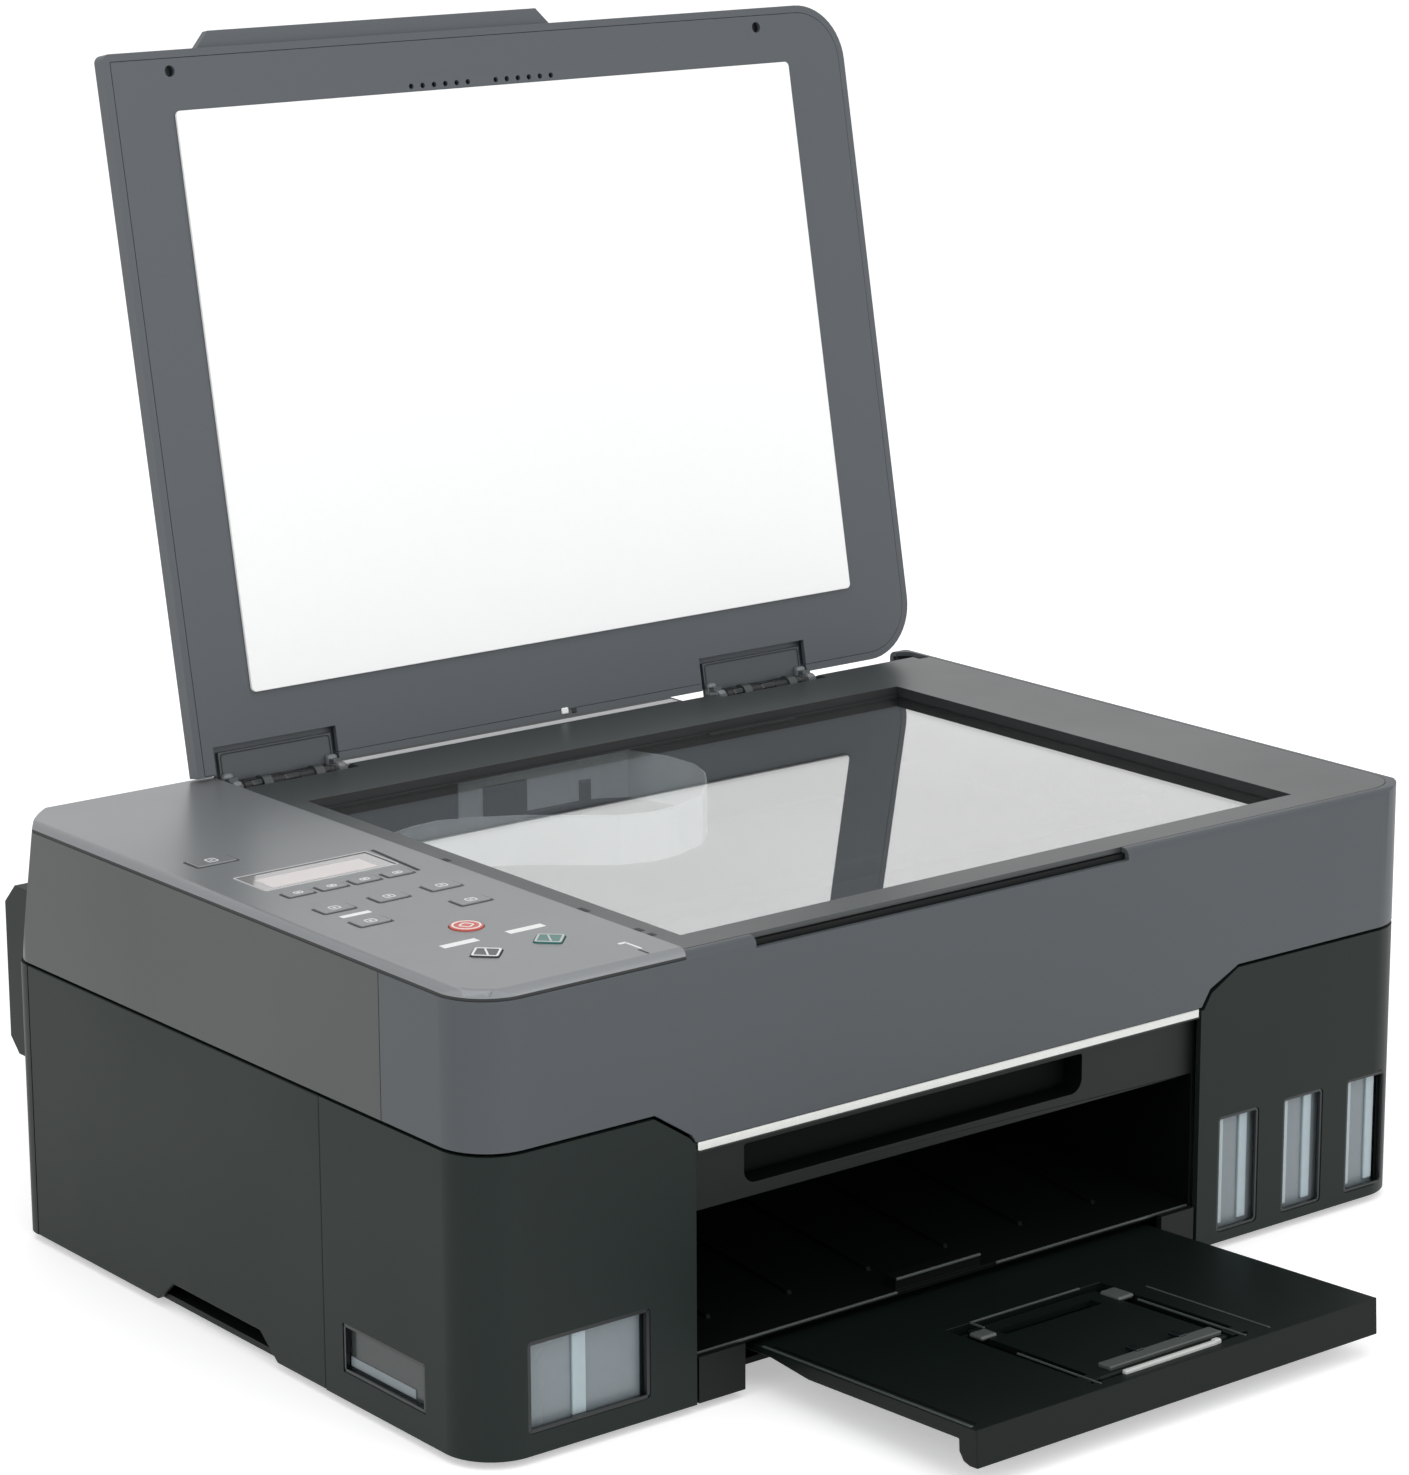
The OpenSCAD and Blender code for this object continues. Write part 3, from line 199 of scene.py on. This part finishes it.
def from_node(node, edge, segments, body, material, rounded=None):
    """The shown piece of a node: its mesh joined up, its flat faces made whole
    and its edges eased. It stands for the node and rides on its body. Rounded
    gives two corners of a box, and the width of the round for edges inside it."""
    piece = bpy.data.objects.new(node + "_shown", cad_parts[node].data.copy())
    bpy.context.scene.collection.objects.link(piece)
    edit(piece)
    bpy.ops.mesh.select_all(action="SELECT")
    bpy.ops.mesh.remove_doubles(threshold=0.000004)
    bpy.ops.mesh.dissolve_limited(angle_limit=math.radians(0.7))
    done()
    if rounded:
        low, high, width = rounded
        for part in (*piece.data.edges, *piece.data.polygons):
            part.select = False
        for point in piece.data.vertices:
            point.select = all(low[i] <= point.co[i] <= high[i] for i in range(3))
        bpy.ops.object.mode_set(mode="EDIT")
        bpy.ops.mesh.bevel(offset=width, segments=6, affect="EDGES")
        done()
    if edge:
        ease_edges(piece, edge, segments)
    piece.data.materials.clear()
    piece.data.materials.append(material)
    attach(piece, body)
    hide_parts(node)
    return piece


casing_black = finish("casing_black", (0.0105, 0.0165, 0.0148), rough=0.45, grain=1300,
                      grain_strength=0.5, tone=0.12, Specular_IOR_Level=0.17)
for node in ("left_side_cover", "right_side_cover", "left_tank_cover", "right_tank_cover"):
    from_node(node, 0.0005, 3, "chassis", casing_black)

# Rear cover of the lower casing with the housing of the rear feed, in the same
# near black plastic. Three plated screws hold it, and four moulded rubber feet
# are pressed into the base.
from_node("rear_cover", 0.0005, 3, "chassis", casing_black)
screw_steel = finish("screw_steel", (0.42, 0.42, 0.43), rough=0.3, Metallic=1.0, grain=2400)
from_node("case_screws", 0.00015, 2, "chassis", screw_steel)
foot_rubber = finish("foot_rubber", (0.02, 0.02, 0.021), rough=0.85, grain=700, grain_strength=0.6)
from_node("rubber_feet", 0.0008, 3, "chassis", foot_rubber)

# ---------------------------------------------------------------- ink tanks
# Blow moulded tanks of milky polypropylene, one for black and three in a row for
# colours, which stand on the base behind the windows of the front corners.
tank_milk = finish("tank_milk", (0.20, 0.235, 0.255), rough=0.28, rough_spread=0.1, grain=260,
                   grain_strength=0.12, tone=0.05, Subsurface_Weight=0.25)
tank_milk.node_tree.nodes["Principled BSDF"].inputs["Subsurface Radius"].default_value = (
    0.004, 0.0045, 0.005)
for node in ("black_ink_tank", "colour_ink_tanks"):
    from_node(node, 0.0008, 3, "chassis", tank_milk)


def block(name, low, high, material, body, ease, segments=2, turn=None):
    """A bar or pad between two corners in millimetres, its edges eased."""
    bpy.ops.object.select_all(action="DESELECT")
    bpy.ops.mesh.primitive_cube_add(size=1)
    piece = bpy.context.object
    piece.name = name
    edit(piece)
    bpy.ops.mesh.select_all(action="SELECT")
    bpy.ops.transform.resize(value=[(b - a) / 1000 for a, b in zip(low, high)])
    bpy.ops.transform.translate(value=at(*[(a + b) / 2 for a, b in zip(low, high)]))
    done()
    if turn:
        piece.matrix_world = turn
        bpy.ops.object.transform_apply()
    ease_edges(piece, ease / 1000, segments)
    piece.data.materials.append(material)
    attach(piece, body)


def rim(name, across, along, band, thick, spot, turn, material, body, corner=1.2, ease=0.3):
    """A moulded rim in millimetres: a plate with round corners whose middle is
    inset by the band and taken out, given its thickness, then stood in its place."""
    bpy.ops.object.select_all(action="DESELECT")
    bpy.ops.mesh.primitive_plane_add(size=1)
    piece = bpy.context.object
    piece.name = name
    edit(piece)
    bpy.ops.mesh.select_all(action="SELECT")
    bpy.ops.transform.resize(value=(across / 1000, along / 1000, 1))
    bpy.ops.mesh.bevel(offset=corner / 1000, segments=4, affect="VERTICES")
    bpy.ops.mesh.select_all(action="SELECT")
    bpy.ops.mesh.inset(thickness=band / 1000)
    bpy.ops.mesh.delete(type="FACE")
    bpy.ops.mesh.select_all(action="SELECT")
    bpy.ops.mesh.extrude_region_move(TRANSFORM_OT_translate={"value": (0, 0, thick / 1000)})
    bpy.ops.mesh.select_all(action="SELECT")
    bpy.ops.mesh.normals_make_consistent(inside=False)
    done()
    piece.rotation_euler = turn
    piece.location = spot
    bpy.ops.object.transform_apply()
    ease_edges(piece, ease / 1000, 2)
    piece.data.materials.append(material)
    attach(piece, body)


# Windows of the tanks: glossy dark rims set in the covers, each round the milky
# wall of its tank, with moulded ribs on that wall, their lighter milky colour a
# painted highlight. A dark pane with one milky rib closes the side window and
# darkens it.
rim_black = finish("rim_black", (0.006, 0.008, 0.009), rough=0.22, rough_spread=0.05,
                   grain=1800, grain_strength=0.15)
rim_depth = 1.7
rim_front = 2.0
facing_front = (math.radians(90), 0, 0)
facing_left = (math.radians(90), 0, math.radians(-90))
first_colour_window = 352.4
window_pitch = 34.6
colour_windows = [first_colour_window + window_pitch * n for n in range(3)]
rim("window_rim_front", 51.7, 33, 1.5, rim_depth, at(45.85, rim_front, 27.3), facing_front,
    rim_black, "chassis")
rim("window_rim_side", 49.4, 18, 1.3, rim_depth, at(rim_front, 56, 22.4), facing_left,
    rim_black, "chassis", corner=1)
for n, middle in enumerate(colour_windows):
    rim("window_rim_colour_" + str(n + 1), 21.6, 46, 1.3, rim_depth, at(middle, rim_front, 30),
        facing_front, rim_black, "chassis", corner=1.8)
rib_milk_highlight = finish("rib_milk_highlight", (0.42, 0.46, 0.48), rough=0.22, rough_spread=0.1, grain=200,
                  grain_strength=0.1, Subsurface_Weight=0.2)
block("tank_rib_front", (40.6, 2.8, 11.5), (46.4, 4.2, 43), rib_milk_highlight, "chassis", 0.5, 3)
side_pane_dark = finish("side_pane_dark", (0.035, 0.042, 0.042), rough=0.2, grain=300, grain_strength=0.1)
block("side_pane", (2.5, 33.2, 14.6), (3.7, 79, 30), side_pane_dark, "chassis", 0.4, 3)
block("side_pane_rib", (2.1, 40, 15.4), (2.7, 79, 19), tank_milk, "chassis", 0.3, 2)
for n, middle in enumerate(colour_windows):
    for side, left, right, ease in (("left", -7.4, -5.2, 0.4), ("right", 3.2, 7.6, 0.5)):
        block("tank_rib_" + str(n + 1) + "_" + side, (middle + left, 2.9, 9),
              (middle + right, 4.3, 51), rib_milk_highlight, "chassis", ease, 3)

# Tank caps: plugs of dark grey rubber pressed into the fillers on top of the
# tanks. They are out of sight under the scanner unit.
cap_rubber = finish("cap_rubber", (0.03, 0.033, 0.036), rough=0.6, grain=900)
from_node("tank_caps", 0.0005, 2, "chassis", cap_rubber)

# ---------------------------------------------------------------- output bay
# Base frame, inner front frame with a long slot in its cross bar, paper floor and
# platen: bare black plastic, screwed together. The slot's inner faces, a plate at its
# back, the paper floor and the platen take a near black darker than the plastic as
# painted shade, and three thin pale strips on the floor's front edges are painted
# highlights.
bay_black = finish("bay_black", (0.004, 0.005, 0.005), rough=0.5, grain=900,
                   grain_strength=0.4, Specular_IOR_Level=0.2)
# Near black darker than the plastic: painted shade for deep places in the bay, the tub and the
# tray.
deep_shade_black = finish("deep_shade_black", (0.0014, 0.0018, 0.0018), rough=0.6, grain=900,
                    grain_strength=0.4, Specular_IOR_Level=0.08)
bar_black = finish("bar_black", (0.0045, 0.0068, 0.006), rough=0.45, grain=900,
                   grain_strength=0.4, Specular_IOR_Level=0.25)
bar = from_node("inner_front_frame", 0.0005, 3, "chassis", bar_black)
bar.data.materials.append(deep_shade_black)
bar_back = at(0, 9, 0).y
# Faces of the slot behind the bar's front and at its ends take the near black as painted shade.
for face in bar.data.polygons:
    if face.center.y > bar_back or abs(face.normal.x) > 0.7:
        face.material_index = 1
block("recess_shade_plate", (117.2, 13.6, 77.4), (274.4, 14.4, 90.2), deep_shade_black, "chassis", 0.3)
from_node("base_frame", 0.0003, 2, "chassis", bay_black)
for node in ("output_floor", "print_platen"):
    from_node(node, 0.0003, 2, "chassis", deep_shade_black)
painted_edge_highlight = finish("painted_edge_highlight", (0.06, 0.072, 0.066), rough=0.3, grain=900, grain_strength=0.3)
block("floor_highlight_left", (92.6, 4.3, 19.1), (186.6, 5.2, 20.1), painted_edge_highlight, "chassis", 0.3)
block("floor_highlight_step", (187.2, 5.5, 23.6), (227.4, 6.5, 24.6), painted_edge_highlight, "chassis", 0.3)
block("floor_highlight_right", (234, 4.3, 19.1), (330.4, 5.2, 20.1), painted_edge_highlight, "chassis", 0.3)

# Insides: steel rail and shafts, rubber covered rollers, toothed belt on brass and
# steel wheels, plastic carriage and boxes, and a green lacquered circuit board,
# all screwed or clipped to the base frame.
rail_steel = finish("rail_steel", (0.5, 0.5, 0.52), rough=0.34, Metallic=1.0, grain=320,
                    grain_strength=0.2)
belt_rubber = finish("belt_rubber", (0.03, 0.03, 0.032), rough=0.7, grain=1500)
board_green = finish("board_green", (0.025, 0.12, 0.06), rough=0.35, grain=2000)
tyre_rubber = finish("tyre_rubber", (0.045, 0.045, 0.05), rough=0.8, grain=1800,
                     grain_strength=0.7)
hose_black = finish("hose_black", (0.035, 0.04, 0.045), rough=0.4)
wheel_brass = finish("wheel_brass", (0.6, 0.42, 0.16), rough=0.3, Metallic=1.0)
head_plastic = finish("head_plastic", (0.045, 0.055, 0.065), rough=0.45)
for node, body, material, slot in (
        ("carriage_rail", "chassis", rail_steel, "steel"),
        ("timing_belt", "chassis", belt_rubber, "belt"),
        ("purge_unit", "chassis", bay_black, "inner_black"),
        ("main_board", "chassis", board_green, "board"),
        ("power_supply", "chassis", bay_black, "inner_black"),
        ("ink_tubes", "chassis", hose_black, "rubber"),
        ("drive_motors", "chassis", rail_steel, "steel"),
        ("pickup_roller", "pickup", tyre_rubber, "roller"),
        ("transport_roller", "transport", rail_steel, "steel"),
        ("eject_roller", "eject", tyre_rubber, "roller"),
        ("carriage", "carriage", bay_black, "inner_black"),
        ("print_heads", "carriage", head_plastic, "head"),
        ("motor_pulley", "motor_wheel", wheel_brass, "brass"),
        ("idler_pulley", "idler_wheel", rail_steel, "steel")):
    from_node(node, 0.0003, 2, body, material)

# ---------------------------------------------------------------- rear feed
# Folding paper support, moulded in the casing's black plastic, with two pale strips
# on its ledge as a painted reflection, and two grey guides that slide together or
# apart in front of it.
from_node("paper_support", 0.0008, 3, "support", casing_black)
ledge_painted_reflection = finish("ledge_painted_reflection", (0.66, 0.68, 0.70), rough=0.3, grain=700, grain_strength=0.3)
for name, y0, y1 in (("front", 312.1, 315.6), ("rear", 317, 322)):
    block("support_reflection_strip_" + name, (70, y0, 155.6), (333, y1, 156.2), ledge_painted_reflection, "support", 0.15)
guide_grey = finish("guide_grey", (0.24, 0.25, 0.26), rough=0.5)
for side in ("left", "right"):
    from_node("paper_guide_" + side, 0.0004, 2, "guide_" + side, guide_grey)

# ---------------------------------------------------------------- output tray
# Output tray with a turned down lip, which slides into the base frame, and the
# paper stopper that folds into its well: black plastic with a fine grain.
tray_black = finish("tray_black", (0.003, 0.006, 0.005), rough=0.45, grain=1500,
                    grain_strength=0.35, tone=0.1, Specular_IOR_Level=0.15)
from_node("output_tray", 0.0005, 3, "tray", tray_black)
from_node("output_stopper", 0.0004, 2, "stopper", tray_black)


def turned(degrees, axis, pivot, drawn=None):
    """Turn about an axis through the pivot, in millimetres. A piece drawn round
    another point is first brought to the pivot."""
    return (Matrix.Translation(at(*pivot)) @ Matrix.Rotation(math.radians(degrees), 4, axis)
            @ Matrix.Translation(-at(*(drawn or pivot))))


# Parts in the tray's well, clipped to the tray: the grey bar that the stopper turns
# on, two black clips, and the end stop in front of it, whose pale colour is a painted
# highlight. Lighter pads in the well's rear corners and thin raised lines round the
# well and along the left edge are painted highlights, and a dark strip beside that
# edge is painted shade for its groove.
tray_slope = 3
tray_turn = turned(-tray_slope, "X", (0, 6, 15.5), (0, 6, 0))
bar_grey = finish("bar_grey", (0.075, 0.085, 0.08), rough=0.3, grain=900, grain_strength=0.3)
end_stop_pale_highlight = finish("end_stop_pale_highlight", (0.5, 0.51, 0.5), rough=0.35, grain=900, grain_strength=0.3)
block("stopper_bar", (194, -98, -1.0), (247, -91.5, 0.7), bar_grey, "tray", 0.5, 3, tray_turn)
for n, x in enumerate((211, 231.5)):
    block("stopper_clip_" + str(n + 1), (x, -93, 0), (x + 3.4, -87, 1.3), rim_black, "tray",
          0.4, 3, tray_turn)
block("end_stop", (194, -105.6, -0.6), (238, -103.4, 1.3), end_stop_pale_highlight, "tray", 0.6, 3, tray_turn)
block("end_stop_hook", (236.4, -105.6, -0.4), (239.6, -103.0, 1.7), end_stop_pale_highlight, "tray", 0.7, 3,
      tray_turn)
for name, x0, y0, x1, y1 in (("left", 183.5, -44, 191, -37), ("right", 246.5, -47, 254, -36.5)):
    block("well_pad_highlight_" + name, (x0, y0, -1.6), (x1, y1, 0.25), bar_grey, "tray", 0.9, 3, tray_turn)
for name, x0, y0, x1, y1 in (("inner", 250.4, -106, 251.2, -52), ("outer", 262.2, -106, 262.9, -44),
                             ("left", 181.6, -106, 182.3, -64), ("back", 191.7, -29.4, 244, -28.5),
                             ("edge", 122.5, -106.5, 123.9, 3), ("side", 191, -36.6, 191.7, -29)):
    block("tray_ridge_highlight_" + name, (x0, y0, -0.5), (x1, y1, 0.3), painted_edge_highlight, "tray", 0.25, 2,
          tray_turn)
block("tray_groove_shade", (125.4, -105.5, -0.5), (126.6, 0, 0.12), deep_shade_black, "tray", 0.1, 2,
      tray_turn)

# ---------------------------------------------------------------- scanner unit
# Upper covers: satin dark grey ABS, one front and right cover and one left panel,
# clipped round the scanner's tub, with a silver lacquered trim under the front.
casing_grey = finish("casing_grey", (0.064, 0.073, 0.081), rough=0.42, grain=1500,
                     grain_strength=0.35, tone=0.05, Specular_IOR_Level=0.35)
from_node("scanner_front_cover", 0.0006, 3, "scanner", casing_grey)
side_grey = finish("side_grey", (0.062, 0.068, 0.067), rough=0.42, grain=1500,
                   grain_strength=0.35, tone=0.05, Specular_IOR_Level=0.35)
from_node("scanner_left_panel", 0.0005, 3, "scanner", side_grey)
from_node("scanner_tub", 0.0003, 2, "scanner", bay_black)
# Black for printed marks and pins, and painted shade for seams, slots, gaps and the line under the
# trim.
mark_and_shade_black = finish("mark_and_shade_black", (0.008, 0.009, 0.01), rough=0.6, grain=900)
trim_silver = finish("trim_silver", (0.60, 0.61, 0.59), rough=0.24, rough_spread=0.05,
                     Metallic=0.85, grain=400, grain_strength=0.05)
from_node("silver_trim", 0.0009, 4, "scanner", trim_silver)
block("trim_shadow_line", (93.2, 0.32, 94.2), (330.6, 0.9, 95.1), mark_and_shade_black, "scanner", 0.15)

# Deck: frame round the glass in grained dark plastic, with the hinge pockets. It
# is screwed down on the tub, and its inner wall round the glass is painted black as
# the shade of the opening's rim.
deck_dark = finish("deck_dark", (0.035, 0.041, 0.042), rough=0.36, grain=1300,
                   grain_strength=0.5, Specular_IOR_Level=0.55)
deck = from_node("platen_frame", 0.0004, 3, "scanner", deck_dark)
deck.data.materials.append(mark_and_shade_black)
wall_low, wall_high = at(96, 14, 0), at(398, 250, 165.9)
for face in deck.data.polygons:
    inside = all(wall_low[i] < face.center[i] < wall_high[i] for i in range(3))
    if abs(face.normal.z) < 0.5 and inside:
        face.material_index = 1

# Platen glass: clear float glass with polished faces, taped under the deck. Four
# black marks for paper sizes are printed on the deck along its left edge.
clear_glass = finish("clear_glass", (0.93, 0.96, 0.95), rough=0.01, rough_spread=0.01,
                     tone=0.01, grain=5, grain_strength=0.0, Transmission_Weight=1.0, IOR=1.52,
                     Coat_Weight=1.0, Coat_IOR=2.4, Coat_Roughness=0.01)
glass = from_node("platen_glass", 0, 2, "scanner", clear_glass)
glass.visible_shadow = False
for n, (y, length) in enumerate(((145.4, 4), (62.8, 5.5), (31.5, 4), (24.4, 3))):
    block("size_mark_" + str(n + 1), (91.3, y - length / 2, 166.1), (93.4, y + length / 2, 166.3),
          mark_and_shade_black, "scanner", 0.05)

# Scan bar under the glass, and the flat white cable that follows it. A near black
# plate along the tub's rear wall is painted shade, two black plastic clips hold the
# cable there, and a dark line and a dark bar along the rear edge of the glass are
# painted shadow in its recess and in a slot.
from_node("scan_bar", 0.0003, 2, "scan_head", bay_black)
cable_white = finish("cable_white", (0.93, 0.94, 0.94), rough=0.3, grain=300, tone=0.02,
                     Subsurface_Weight=0.3)
from_node("scanner_ribbon", 0, 2, "scanner", cable_white)
block("rear_wall_shade_plate", (96, 267.6, 114), (398, 269.4, 158.6), deep_shade_black, "scanner", 0.4)
block("rear_slot_shadow", (292, 243.6, 161.8), (337, 245.6, 162.3), mark_and_shade_black, "scanner", 0.1)
block("glass_rear_shadow", (100.2, 245.7, 161.8), (393.6, 246.3, 162.5), mark_and_shade_black, "scanner", 0.1)
for name, x0, x1, top in (("left", 192.4, 213, 150.4), ("right", 239.6, 250.4, 145.6)):
    block("cable_clip_" + name, (x0, 261.4, 120), (x1, 262.8, top), bay_black, "scanner", 0.1)

# ---------------------------------------------------------------- operation panel
# Operation panel: satin metallic lacquer over moulded plastic, set on the deck, the
# faces under its lip painted black as the shade of the seam. The display is a tinted
# window with a pale glass, and the keys are small sprung caps, most of them in the
# panel's lacquer.
panel_metal = finish("panel_metal", (0.23, 0.24, 0.25), rough=0.33, Metallic=0.45, grain=2200,
                     grain_strength=0.2, tone=0.08)
front_corner = (at(2, 2, 167.65), at(10.4, 10.4, 168), 0.0024)
shade_line_top = 0.16495
panel = from_node("operation_panel", 0.0004, 3, "scanner", panel_metal,
                  front_corner)
panel.data.materials.append(mark_and_shade_black)
edit(panel)
bpy.ops.mesh.select_all(action="SELECT")
bpy.ops.mesh.bisect(plane_co=(0, 0, shade_line_top), plane_no=(0, 0, 1))
done()
# Side faces under the lip take the black as painted shade.
for face in panel.data.polygons:
    face.material_index = int(face.center.z < shade_line_top and face.normal.z < 0.5)
display = finish("display", (0.26, 0.25, 0.25), rough=0.15, rough_spread=0.04, grain=40,
                 grain_strength=0.02, Coat_Weight=1.0)
from_node("lcd_window", 0.0002, 2, "scanner", display)
display_pale = finish("display_pale", (0.66, 0.62, 0.61), rough=0.25, rough_spread=0.05, grain=60,
                      grain_strength=0.05, tone=0.03)
print_and_highlight_white = finish("print_and_highlight_white", (0.80, 0.81, 0.81), rough=0.4, grain=900, tone=0.03)
print_pale = finish("print_pale", (0.50, 0.51, 0.51), rough=0.4, grain=900, tone=0.03)
block("display_glass", (21.6, 150.6, 167.3), (66, 162.8, 167.62), display_pale, "scanner", 0.1)
panel_top = 167.6
lying = (0, 0, 0)
rim("display_frame", 57, 21.8, 0.7, 0.22, at(45, 158.35, panel_top), lying, print_pale,
    "scanner", corner=0.8, ease=0.08)
# A dark strip at the display's right side is painted shadow.
block("display_side_shadow", (74.2, 136, 167.5), (75.6, 169, 167.85), mark_and_shade_black, "scanner", 0.08, 2,
      turned(-4, "Z", (75.0, 151, 167.7)))
key_red = finish("key_red", (0.55, 0.09, 0.065), rough=0.35)
key_black = finish("key_black", (0.03, 0.032, 0.035), rough=0.3)
key_teal = finish("key_teal", (0.02, 0.14, 0.12), rough=0.3)
key_looks = {"stop": (key_red, "key_red"), "black": (key_black, "key_black"),
             "colour": (key_teal, "key_teal")}
for key in ("power", "back", "left", "right", "ok", "copy", "menu", "scan", "setup", "info",
            "stop", "black", "colour"):
    material, slot = key_looks.get(key, (panel_metal, "key_grey"))
    from_node("key_" + key, 0.0003, 3, "button_" + key, material)

# Printed marks on the keys and dark shadow gaps round them; a round pale ring on
# the stop key, white borders and slanted bars on the two square start keys, and
# plain white bars printed on the panel. At the panel's front right a white hook is a
# painted highlight on the edge of its notch, and a black bar in the notch is painted
# shade.
key_gap = finish("key_gap", (0.022, 0.024, 0.026), rough=0.5, grain=900)
key_top = 168.15
for key, x, y, across, along in (
        ("power", 22.8, 192.8, 16.6, 9.2), ("back", 23.9, 138, 10.8, 5.5),
        ("left", 37.8, 137.8, 10.8, 5.5), ("right", 51.6, 137.6, 10.8, 5.5),
        ("ok", 65.5, 137.4, 10.8, 5.5), ("copy", 23.2, 114.2, 12.7, 7.5),
        ("menu", 46, 114.2, 12.7, 7.5), ("scan", 68.2, 114, 12.7, 7.5),
        ("setup", 24, 93.2, 12.7, 7.5), ("info", 65.7, 92.7, 12.7, 7.5)):
    rim("key_gap_" + key, across + 1.7, along + 1.7, 0.55, 0.14, at(x, y, 167.62), lying,
        key_gap, "scanner", corner=1.2, ease=0.04)
    rim("key_mark_" + key, min(across * 0.34, 4.2), along * 0.48, 0.42, 0.12, at(x, y, key_top),
        lying, print_and_highlight_white, "button_" + key, corner=0.9, ease=0.03)
    block("key_dot_" + key, (x - 0.7, y - 0.35, key_top), (x + 0.7, y + 0.35, key_top + 0.12),
          print_and_highlight_white, "button_" + key, 0.03)
stop_middle = at(46.2, 68, key_top)
rim("key_mark_stop", 10.4, 10.4, 0.7, 0.14, stop_middle, lying, print_and_highlight_white,
    "button_stop", corner=5.1, ease=0.04)
rim("key_sign_stop", 4.6, 4.6, 0.6, 0.14, stop_middle, (0, 0, math.radians(30)),
    print_and_highlight_white, "button_stop", corner=1.2, ease=0.04)
for key, x, y, ink in (("black", 33.1, 38, print_and_highlight_white), ("colour", 59, 37.7, print_pale)):
    rim("key_mark_" + key, 9.2, 9.2, 0.75, 0.14, at(x, y, key_top), (0, 0, math.radians(45)),
        ink, "button_" + key, corner=0.9, ease=0.04)
    block("key_slant_" + key, (x - 3.6, y - 0.35, key_top), (x + 3.6, y + 0.35, key_top + 0.14),
          ink, "button_" + key, 0.04, 2, turned(62, "Z", (x, y, 0)))
for name, x0, y0, x1, y1 in (("copy_strip", 19, 102.6, 31, 105.2),
                             ("black_strip", 25.4, 51.2, 39.9, 54.8),
                             ("colour_strip", 52.6, 51.1, 67.5, 54.7),
                             ("notch_highlight_hook", 73.6, 17.8, 76.9, 19.2),
                             ("notch_highlight_line", 76.0, 9.5, 76.9, 18.5)):
    block("panel_" + name, (x0, y0, panel_top), (x1, y1, 167.82), print_and_highlight_white, "scanner", 0.08)
block("panel_notch_shade", (74.6, 3.6, 167.5), (75.4, 9.2, 167.8), mark_and_shade_black, "scanner", 0.08)

# ---------------------------------------------------------------- document cover
# Document cover: grey ABS shell and inner panel clipped together, a white foam
# backed sheet stuck inside, and two hinges screwed to its rear edge.
cover_grey = finish("cover_grey", (0.084, 0.094, 0.104), rough=0.42, grain=1500,
                    grain_strength=0.35, tone=0.05, Specular_IOR_Level=0.35)
from_node("cover_shell", 0.0008, 4, "cover", cover_grey)
from_node("cover_inner_panel", 0.0004, 2, "cover", cover_grey)
sheet_white = finish("sheet_white", (0.93, 0.935, 0.935), rough=0.6, grain=500,
                     grain_strength=0.1, tone=0.01)
from_node("cover_pad", 0.0003, 2, "cover", sheet_white)
hinge_plastic = finish("hinge_plastic", (0.072, 0.08, 0.088), rough=0.42, grain=1500,
                       tone=0.05, Specular_IOR_Level=0.35)
from_node("cover_hinges", 0.0005, 3, "cover", hinge_plastic)

# Hinge fittings: a dark line round each plate, painted shade in the gap round it,
# grey rounded arms at its ends, and a pin with black barrels between them. A white
# stud sits between the hinges with a dark patch beside it, its painted shadow. All
# of it is drawn shut with the hinge line at zero, then turned open.
hinge_line = (0, 284.3, 164.0)
open_angle = 100.8
opened = turned(-open_angle, "X", hinge_line, (0, 0, 0))
arm_grey = finish("arm_grey", (0.15, 0.16, 0.165), rough=0.35, grain=900)
block("cover_stud", (250.9, -7.7, 3.1), (254.3, -5.1, 4.2), print_and_highlight_white, "cover", 0.6, 3, opened)
block("cover_stud_shadow", (256.2, -7, 3.7), (258.6, -4.8, 4.15), mark_and_shade_black, "cover", 0.4, 3,
      opened)
for name, x in (("left", 90.4), ("right", 328.2)):
    for end, low in (("a", -1.3), ("b", 46.7)):
        block("hinge_arm_" + name + "_" + end, (x + low, -6.5, 3.2), (x + low + 4.6, -0.6, 6.9),
              arm_grey, "cover", 1.5, 5, opened)
        block("hinge_foot_" + name + "_" + end, (x + low, -3.6, -2.9), (x + low + 4.6, 2.6, 4.4),
              arm_grey, "cover", 1.7, 5, opened)
    outline = opened @ Matrix.Translation(at(x + 25, -8.4, 6.25))
    rim("hinge_gap_shadow_" + name, 50.5, 11.6, 0.5, 0.2, outline.translation, outline.to_euler(),
        mark_and_shade_black, "cover", corner=1.6, ease=0.05)
    block("hinge_pin_" + name, (x + 3.5, -2.9, -2.9), (x + 46.5, 2.9, 2.9), mark_and_shade_black, "cover",
          1.6, 4, opened)
    for end, low, high in (("a", 6, 13), ("b", 21, 30), ("c", 37, 44)):
        block("hinge_barrel_" + name + "_" + end, (x + low, -3.3, -3.3), (x + high, 3.3, 3.3),
              rim_black, "cover", 1.9, 4, opened)
